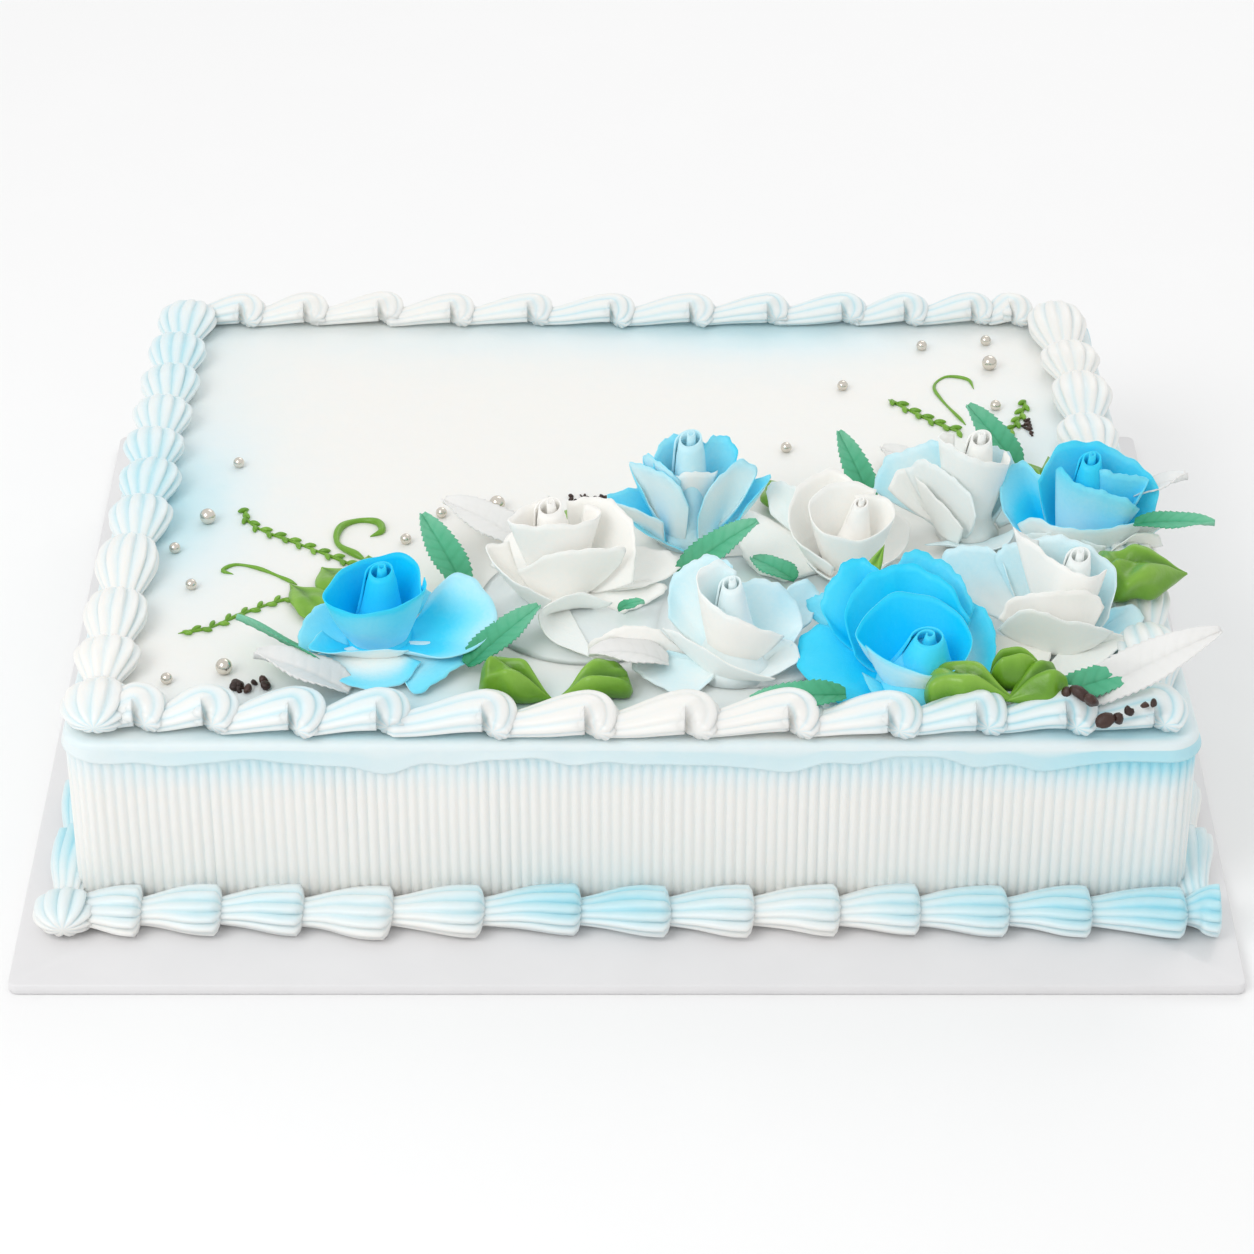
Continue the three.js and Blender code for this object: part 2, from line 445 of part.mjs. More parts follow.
// A star-piped shell lying along +X from its tail at 0 to its head at length, flat underneath
function shellSolid(length, { width, height, ribs }, grow) {
  const stations = ribs > 2 ? [[0.3, 0.6], [0.78, 1]] : [[0.72, 1]];
  const corners = 2 * ribs;
  const groove = grow > 0 ? 0.97 : 0.84;
  const rings = stations.map(([along, size]) => {
    const ring = [];
    for (let k = 0; k <= corners; k += 1) {
      const level = (Math.PI * k) / corners;
      const angle = level + 0.35 * (along - 0.5) * Math.sin(level);
      const reach = size * (k % 2 ? groove : 1);
      const y = (width / 2 + grow) * reach * Math.cos(angle);
      const z = (height + grow) * reach * Math.sin(angle);
      ring.push(v3(length * along, y, k % corners ? z : -grow));
    }
    return ring;
  });
  return loft([[v3(-grow, 0, height * 0.14)], ...rings, [v3(length + grow, 0, height * 0.3)]]);
}

// A row of overlapping shells, heads forward, with the corner shell whose head faces the viewer
function shellRow(row, grow) {
  const start = v3(row.from[0], row.from[1], row.base);
  const run = v3(row.to[0], row.to[1], row.base).sub(start);
  const heading = THREE.MathUtils.radToDeg(Math.atan2(run.y, run.x));
  const scale = run.length() / row.pitches.reduce((sum, pitch) => sum + pitch, 0);
  const shells = [];
  let travelled = 0;
  row.pitches.forEach((pitch) => {
    const tail = travelled - pitch * SHELL_OVERLAP;
    const share = (tail * scale) / run.length();
    const middle = (travelled + pitch / 2) * scale / run.length();
    const place = start.clone().addScaledVector(run, share);
    place.y -= row.sag * Math.sin(Math.PI * middle);
    const shell = shellSolid(pitch * scale * (1 + SHELL_OVERLAP), row, grow);
    shells.push(shell.rotate([0, 0, heading]).translate(place.toArray()));
    travelled += pitch;
  });
  if (row.corner) {
    const { x, y, length } = row.corner;
    shells.push(shellSolid(length, row, grow).rotate([0, 0, -90]).translate([x, y, row.base]));
  }
  if (row.crumbs) shells.push(...crumbSolids(row.crumbs, grow));
  return fuse(shells);
}

// The rows, each cut clear of the wall behind it and of the rows before it, with the solid that
// later pieces are cut by
function borderRows() {
  const cut = GAP + 0.15;
  const before = [wallSolid()];
  return ROWS.map((row) => {
    const solid = largest(shellRow(row, 0).subtract(fuse(before)));
    const cutter = shellRow(row, cut);
    before.push(cutter);
    return { name: row.name, solid, cutter, high: row.base > CAKE.height };
  });
}

// A sugar pearl pressed a little into the icing
function pearlSolid([x, y], diameter) {
  const ball = fromGeometry(new THREE.OctahedronGeometry(diameter / 2, 0));
  return ball.translate([x, y, TOP + diameter / 2 - PEARL.sunk]);
}

// A piped vine lying on the icing, four-sided, with a zigzag where it is leafy
function vineSolid({ points, leafy, radius }, grow) {
  const curve = new THREE.CatmullRomCurve3(points.map(([x, y]) => v3(x, y, TOP + radius * 0.6)));
  const steps = Math.max(5, Math.round(curve.getLength() / (leafy ? 8 : 10)));
  const rings = [];
  for (let k = 1; k < steps; k += 1) {
    const centre = curve.getPointAt(k / steps);
    const tangent = curve.getTangentAt(k / steps);
    const side = v3(-tangent.y, tangent.x, 0).normalize();
    centre.addScaledVector(side, leafy ? (k % 2 ? 0.9 : -0.9) : 0);
    const ring = [[1, 0], [0, 1], [-1, 0], [0, -1]].map(([a, b]) => {
      return centre.clone().addScaledVector(side, a * (radius + grow)).add(v3(0, 0, b * (radius + grow)));
    });
    rings.push(ring);
  }
  return loft([[curve.getPointAt(0)], ...rings, [curve.getPointAt(1)]]);
}

// A cluster of crumbs lying at a height above the icing, each a rough eight-sided lump
function crumbSolids({ at, spread, count, size, low = 0 }, grow) {
  const random = seeded(count * 7);
  const lumps = [];
  for (let k = 0; k < count; k += 1) {
    const angle = (2 * Math.PI * k) / count;
    const out = k ? 1 : 0;
    const girth = size * (0.7 + 0.5 * random()) + grow;
    const x = at[0] + out * spread[0] * Math.cos(angle);
    const y = at[1] + out * spread[1] * Math.sin(angle);
    const lump = fromGeometry(new THREE.OctahedronGeometry(girth, 0));
    const turned = lump.scale([1, 0.8, 0.7]).rotate([0, 0, 90 * random()]);
    lumps.push(turned.translate([x, y, TOP + low + girth * 0.4]));
  }
  return lumps;
}

// The cake's smooth outside, grown by the gap that the rows keep from it
function wallSolid() {
  const outline = roundedOutline(CAKE.width / 2 + GAP, CAKE.depth / 2 + GAP, CAKE.corner + GAP, 6);
  return slab(outline, ON_BOARD - GAP, TOP);
}

// The cake with the toppings that are fused to its icing
function icedCake() {
  return largest(fuse([
    cakeSolid(),
    ...SMALL_PEARLS.map((place) => pearlSolid(place, PEARL.small)),
    ...BIG_PEARLS.map((place) => pearlSolid(place, PEARL.big)),
    ...VINES.map((vine) => vineSolid(vine, 0)),
    ...CRUMBS.flatMap((cluster) => crumbSolids(cluster, 0)),
  ]));
}

// A low dome of cream, six-sided
function moundSolid([x, y, radius, height], grow) {
  const ring = (size, z) => {
    const points = [];
    for (let k = 0; k < 6; k += 1) {
      const angle = (2 * Math.PI * (k + 0.5)) / 6;
      points.push(v3(x + size * Math.cos(angle), y + size * Math.sin(angle), TOP + z));
    }
    return points;
  };
  const low = GAP - grow;
  return loft([
    [v3(x, y, TOP + low)],
    ring(radius + 8 * grow, low),
    ring(radius * 0.7 + grow, height + grow),
    [v3(x, y, TOP + height + grow)],
  ]);
}

// A petal of a rose: a sheet from a ring at the foot, bent towards its rim
function petalSolid({ rim, cup }, foot, grow) {
  const knots = rim.map(([x, y, z]) => v3(x - foot[0], y - foot[1], z));
  const curve = new THREE.CatmullRomCurve3(knots, false, "catmullrom");
  const places = curve.getSpacedPoints(12);
  const average = (size) => places.reduce((sum, place) => sum + size(place), 0) / places.length;
  const reach = average((place) => Math.hypot(place.x, place.y));
  const outer = THREE.MathUtils.smoothstep(reach, 16, 28);
  const base = {
    reach: THREE.MathUtils.lerp(0.55 * reach, 10, outer),
    rise: THREE.MathUtils.lerp(0.15 * average((place) => place.z), 2.6, outer),
  };
  const turn = places.slice(1).reduce((sum, place, k) => {
    return sum + v3(place.x, place.y, 0).angleTo(v3(places[k].x, places[k].y, 0));
  }, 0);
  const surface = (u, v) => {
    const edge = curve.getPointAt(THREE.MathUtils.clamp(u, 0, 1));
    const start = v3(edge.x, edge.y, 0).setLength(base.reach).setZ(base.rise);
    const climb = edge.clone().sub(start);
    const bend = start.clone().add(climb.multiply(v3(0.5 + 0.4 * cup, 0.5 + 0.4 * cup, 0.5 - 0.4 * cup)));
    const along = curve.getTangentAt(THREE.MathUtils.clamp(u, 0, 1)).multiplyScalar(grow * (2 * u - 1));
    edge.add(edge.clone().sub(bend).setLength(grow)).add(along);
    const low = start.lerp(bend, v);
    return low.lerp(bend.lerp(edge, v), v);
  };
  const across = Math.max(2, Math.round(turn / rad(68)));
  const petal = sheet(across, cup > 0.32 ? 2 : 1, surface, (u, v) => 2.4 - 1.3 * v + 2 * grow);
  return petal.translate([foot[0], foot[1], 0]);
}

// The rolled bud in the middle of a rose, on the foot that its petals stand on
function budSolid({ lean, wide, tip, height }, foot, grow) {
  const ring = (size, share) => {
    const points = [];
    for (let k = 0; k < 5; k += 1) {
      const angle = (2 * Math.PI * k) / 5;
      const x = foot[0] + lean[0] * share + (size + grow) * Math.cos(angle);
      const y = foot[1] + lean[1] * share + (size + grow) * Math.sin(angle);
      points.push(v3(x, y, height * share));
    }
    return points;
  };
  return loft([
    [v3(foot[0], foot[1], 0)],
    ring(11, 0.02),
    ring(wide * 0.9, 0.25),
    ring(tip * 1.1, 0.96),
    [v3(foot[0] + lean[0], foot[1] + lean[1], height + grow)],
  ]);
}

function roseSolid({ at, foot, bud, petals }, grow) {
  const whole = fuse([budSolid(bud, foot, grow), ...petals.map((petal) => petalSolid(petal, foot, grow))]);
  return whole.translate([at[0], at[1], TOP]);
}

// A leaf: a thin wavy sheet, toothed along its edges, folded a little along its middle rib
function leafSolid({ kind, base, tip, width, roll = 0, bend = 0 }, grow) {
  const start = v3(base[0], base[1], TOP + base[2]);
  const end = v3(tip[0], tip[1], TOP + tip[2]);
  const run = end.clone().sub(start);
  const heading = run.clone().normalize();
  const side = v3(-heading.y, heading.x, 0).normalize().applyAxisAngle(heading, rad(roll));
  const up = heading.clone().cross(side);
  const steps = 3;
  const surface = (u, v) => {
    const across = 2 * u - 1;
    const tooth = 1 + kind.teeth * (Math.round(v * steps) % 2 ? 1 : -1);
    const profile = Math.sin(Math.PI * (0.08 + 0.9 * v ** 0.85)) ** 0.7;
    const spread = (width / 2 + grow) * profile * tooth * across;
    const wave = kind.ruffle * Math.sin(9 * v) * across * across;
    const height = bend * 4 * v * (1 - v) + wave + 0.1 * width * Math.abs(across);
    return start.clone().addScaledVector(run, v).addScaledVector(side, spread).addScaledVector(up, height);
  };
  return sheet(2, steps, surface, () => kind.thick + 2 * grow);
}

// A piped leaf, five-sided, standing on the line from its base to its tip
function pipedSolid({ base, tip, wide, high }, grow) {
  const start = v3(base[0], base[1], TOP + base[2]);
  const run = v3(tip[0], tip[1], TOP + tip[2]).sub(start);
  const heading = run.clone().normalize();
  const side = v3(-heading.y, heading.x, 0).normalize();
  const up = heading.clone().cross(side);
  const section = [[1, 0.2], [0.6, 1], [0, 0.75], [-0.6, 1], [-1, 0.2]];
  const place = (along, across, rise) => {
    const point = start.clone().addScaledVector(run, along);
    return point.addScaledVector(side, across).addScaledVector(up, rise);
  };
  const rings = [[0.2, 1], [0.66, 0.8]].map(([along, size]) => {
    return section.map(([across, rise]) => {
      const wider = (wide / 2) * size * across + grow * Math.sign(across);
      return place(along, wider, high * size * rise + (rise > 0.5 ? grow : -grow));
    });
  });
  const reach = grow / run.length();
  return loft([[place(-reach, 0, high * 0.3)], ...rings, [place(1 + reach, 0, high * 0.2)]]);
}

function toMesh(name, solid, color, roughness) {
  const { vertProperties, triVerts } = solid.getMesh();
  const geometry = new THREE.BufferGeometry();
  geometry.setAttribute("position", new THREE.BufferAttribute(vertProperties, 3));
  geometry.setIndex(new THREE.BufferAttribute(triVerts, 1));
  geometry.computeVertexNormals();
  const mesh = new THREE.Mesh(geometry, new THREE.MeshStandardMaterial({ color, roughness, metalness: 0 }));
  mesh.name = name;
  return mesh;
}

// Everything on the cake's top is cut clear of what was laid before it
function assemble() {
  const group = new THREE.Group();
  const cut = GAP;
  group.add(toMesh("board", boardSolid(), 0xf2f2f2, 0.35));
  group.add(toMesh("cake_body", icedCake(), CREAM, 0.6));

  const rows = borderRows();
  rows.forEach(({ name, solid }) => group.add(toMesh(name, solid, CREAM, 0.55)));

  const icing = fromGeometry(new THREE.BoxGeometry(500, 500, 40)).translate([0, 0, TOP + GAP - 20]);
  const borders = fuse(rows.filter(({ high }) => high).map(({ cutter }) => cutter));
  const mound = largest(fuse(MOUNDS.map((place) => moundSolid(place, 0))).subtract(borders));
  group.add(toMesh("cream_mound", mound, CREAM, 0.55));

  const keepOut = [icing, borders, fuse(MOUNDS.map((place) => moundSolid(place, cut)))];
  ROSES.forEach((rose) => {
    const solid = largest(roseSolid(rose, 0).subtract(fuse(keepOut)));
    group.add(toMesh(rose.name, solid, rose.color, 0.5));
    keepOut.push(roseSolid(rose, cut));
  });
  LEAVES.forEach((leaf) => {
    const solid = largest(leafSolid(leaf, 0).subtract(fuse(keepOut)));
    group.add(toMesh(leaf.name, solid, leaf.kind.color, 0.5));
    keepOut.push(leafSolid(leaf, 2 * cut));
  });
  keepOut.push(...VINES.map((vine) => vineSolid(vine, 2 * cut)));
  keepOut.push(...CRUMBS.flatMap((cluster) => crumbSolids(cluster, cut)));
  PIPED.forEach((leaf) => {
    const solid = largest(pipedSolid(leaf, 0).subtract(fuse(keepOut)));
    group.add(toMesh(leaf.name, solid, LEAF_GREEN, 0.5));
    keepOut.push(pipedSolid(leaf, 1.5 * cut));
  });
  return group;
}

export default assemble();
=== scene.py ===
# Rose-decorated layer cake on its board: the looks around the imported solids.
# Shapes are worked out in millimetres in the frame of the solids, and turned into metres when a piece
# is made.

import math

import bpy
import numpy as np
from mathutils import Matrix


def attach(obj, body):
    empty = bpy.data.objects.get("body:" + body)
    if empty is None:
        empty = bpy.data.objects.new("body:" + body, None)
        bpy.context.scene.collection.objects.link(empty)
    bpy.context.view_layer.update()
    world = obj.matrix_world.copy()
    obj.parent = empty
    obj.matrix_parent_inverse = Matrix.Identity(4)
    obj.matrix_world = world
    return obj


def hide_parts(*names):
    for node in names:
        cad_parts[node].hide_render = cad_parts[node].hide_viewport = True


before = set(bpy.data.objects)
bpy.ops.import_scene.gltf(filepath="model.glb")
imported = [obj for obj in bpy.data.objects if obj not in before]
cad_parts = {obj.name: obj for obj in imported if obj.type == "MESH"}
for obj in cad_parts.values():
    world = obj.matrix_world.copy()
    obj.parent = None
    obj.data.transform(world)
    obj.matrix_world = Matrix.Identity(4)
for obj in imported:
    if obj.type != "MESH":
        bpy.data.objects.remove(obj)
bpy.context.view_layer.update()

MM = 0.001


# How the tables are written

def petal(cup, tint, *rim, grain=0):
    return {"cup": cup, "tint": tint, "rim": rim, "grain": grain}


def rose(name, slot, at, foot, bud, *petals):
    return {"name": "rose_" + name, "slot": slot, "at": at, "foot": foot, "bud": bud, "petals": petals}


def named(stem, keys, rows):
    """Rows of values as dictionaries, each named with the stem and its number."""
    return [{"name": f"{stem}_{k}", **dict(zip(keys, row))} for k, row in enumerate(rows, 1)]


# The sizes that the solids are built from
BOARD = {"width": 411.5, "depth": 358.0, "thick": 4.0, "corner": 3.0}
CAKE = {"width": 380.0, "depth": 300.0, "height": 68.0, "x": 1.5, "y": 13.0, "corner": 12.0}
TAPER = {"left": 7.0, "right": 12.0}
GAP = 0.35
TOP = BOARD["thick"] + CAKE["height"]
ON_CAKE = TOP + GAP
ON_BOARD = BOARD["thick"] + GAP

# The comb's real teeth, the steps that each is drawn in, and the smooth cream band above them
COMB = {"pitch": 3.45, "steps": 7, "depth": 0.85, "band": 8.0}

# Rows of piped shells: the pitches are uneven as piped, sag bows a row outward, and a corner shell has
# its place and length. Each rib is drawn in RIB_STEPS.
SHELL_OVERLAP = 0.28
RIB_STEPS = 7
ROWS = [
    {
        "name": "border_top_front", "start": (-172, -125), "end": (188, -125), "base": ON_CAKE,
        "width": 25, "height": 12.5, "sag": 5, "style": "curl", "corner": (-177, -97, 39),
        "pitches": [21, 23, 29, 29, 35, 34, 33, 34, 33, 29, 30, 29],
    },
    {
        "name": "border_top_left", "start": (-177, -104), "end": (-171, 155), "base": ON_CAKE,
        "width": 23, "height": 11.5, "sag": 0, "style": "fan",
        "pitches": [22, 31, 35, 27, 25, 23, 23, 24, 25, 25],
    },
    {
        "name": "border_top_right", "start": (179, -104), "end": (167, 155), "base": ON_CAKE,
        "width": 23, "height": 11.5, "sag": 0, "style": "fan",
        "pitches": [30, 30, 30, 28, 28, 27, 32, 23, 32],
    },
    {
        "name": "border_top_back", "start": (-165, 151), "end": (160, 151), "base": ON_CAKE,
        "width": 21, "height": 10.5, "sag": 0, "style": "curl",
        "pitches": [25, 25, 29, 28, 30, 32, 31, 30, 29, 24, 26, 15],
    },
    {
        "name": "border_low_front", "start": (-186, -145), "end": (201, -145), "base": ON_BOARD,
        "width": 23, "height": 13, "sag": 0, "style": "horn", "corner": (-189, -127, 30),
        "pitches": [23, 27, 28, 30, 31, 33, 30, 28, 29, 27, 30, 28, 32, 11],
    },
    {
        "name": "border_low_left", "start": (-190, -130), "end": (-184, 164), "base": ON_BOARD,
        "width": 20, "height": 12, "sag": 0, "style": "horn",
        "pitches": [28, 29, 30, 28, 29, 27, 28, 27, 28, 27],
    },
    {
        "name": "border_low_right", "start": (193, -130), "end": (182, 164), "base": ON_BOARD,
        "width": 20, "height": 12, "sag": 0, "style": "horn",
        "pitches": [27, 28, 27, 29, 28, 30, 27, 28, 29, 28],
    },
    {
        "name": "border_low_back", "start": (-173, 165), "end": (172, 165), "base": ON_BOARD,
        "width": 20, "height": 12, "sag": 0, "style": "horn",
        "pitches": [27, 29, 28, 30, 28, 31, 29, 28, 30, 27, 29, 28],
    },
]

# Sugar pearls: diameters, how deep they sink in, and centres on the icing
PEARL = {"small": 4.1, "big": 5.8, "sunk": 0.4}
SMALL_PEARLS = [
    (-143, 42), (-161, -17), (-153, -41), (-156, -100), (-79, -11), (-67, 7), (59, 53), (82, 99),
    (114, 130), (139, 134), (139, 84),
]
BIG_PEARLS = [(-151, 3), (-137, -94), (-47, 12), (139, 115)]

# Green piped vines: leafy ones carry small leaves left and right, plain ones are smooth curls
VINES = [
    {"points": [(-137, 12), (-138, 6), (-131, -3), (-119, -11), (-106, -20), (-95, -28)], "leafy": 1.6},
    {"points": [(-155, -70), (-145, -67), (-134, -58), (-122, -50), (-112, -47)], "leafy": 1.5},
    {"points": [(99, 91), (107, 82), (116, 73), (125, 66)], "leafy": 1.7},
    {"points": [(151, 90), (148, 78), (143, 66), (141, 56)], "leafy": 1.7},
    {"points": [(-93, -23), (-103, -13), (-103, -2), (-97, 3), (-90, 2), (-88, -4), (-92, -7)],
     "plain": 1.5},
    {"points": [(-116, -39), (-128, -30), (-138, -26), (-143, -30), (-139, -32)], "plain": 0.8},
    {"points": [(127, 72), (119, 91), (117, 101), (122, 108), (130, 106), (132, 99)], "plain": 0.7},
]

# Dark cookie crumbs, in clusters of centre, spread and count
CRUMBS = [
    {"at": (-127, -103), "spread": (7, 4), "count": 9, "size": 3.0},
    {"at": (-14, 19), "spread": (9, 2.4), "count": 16, "size": 1.6},
    {"at": (150, 69), "spread": (2, 7), "count": 11, "size": 1.5},
]

# Crumbs that lie on the front row of shells, as centres and sizes, each on the highest shell within reach
CRUMB_REACH = 7
BORDER_CRUMBS = [
    (146, -125, 2.2), (151, -127, 3.4), (154, -130, 3.2), (157.5, -136, 3.0), (162, -135, 2.2),
    (166, -133, 2.0), (171, -132, 1.6), (174, -131.5, 1.7),
]

# Low cream mounds that the roses stand in: centre, radius and height
MOUNDS = [(-14, -52, 38, 2.5), (42, -62, 42, 2.5), (94, -64, 42, 2.5), (134, -46, 33, 2.5)]

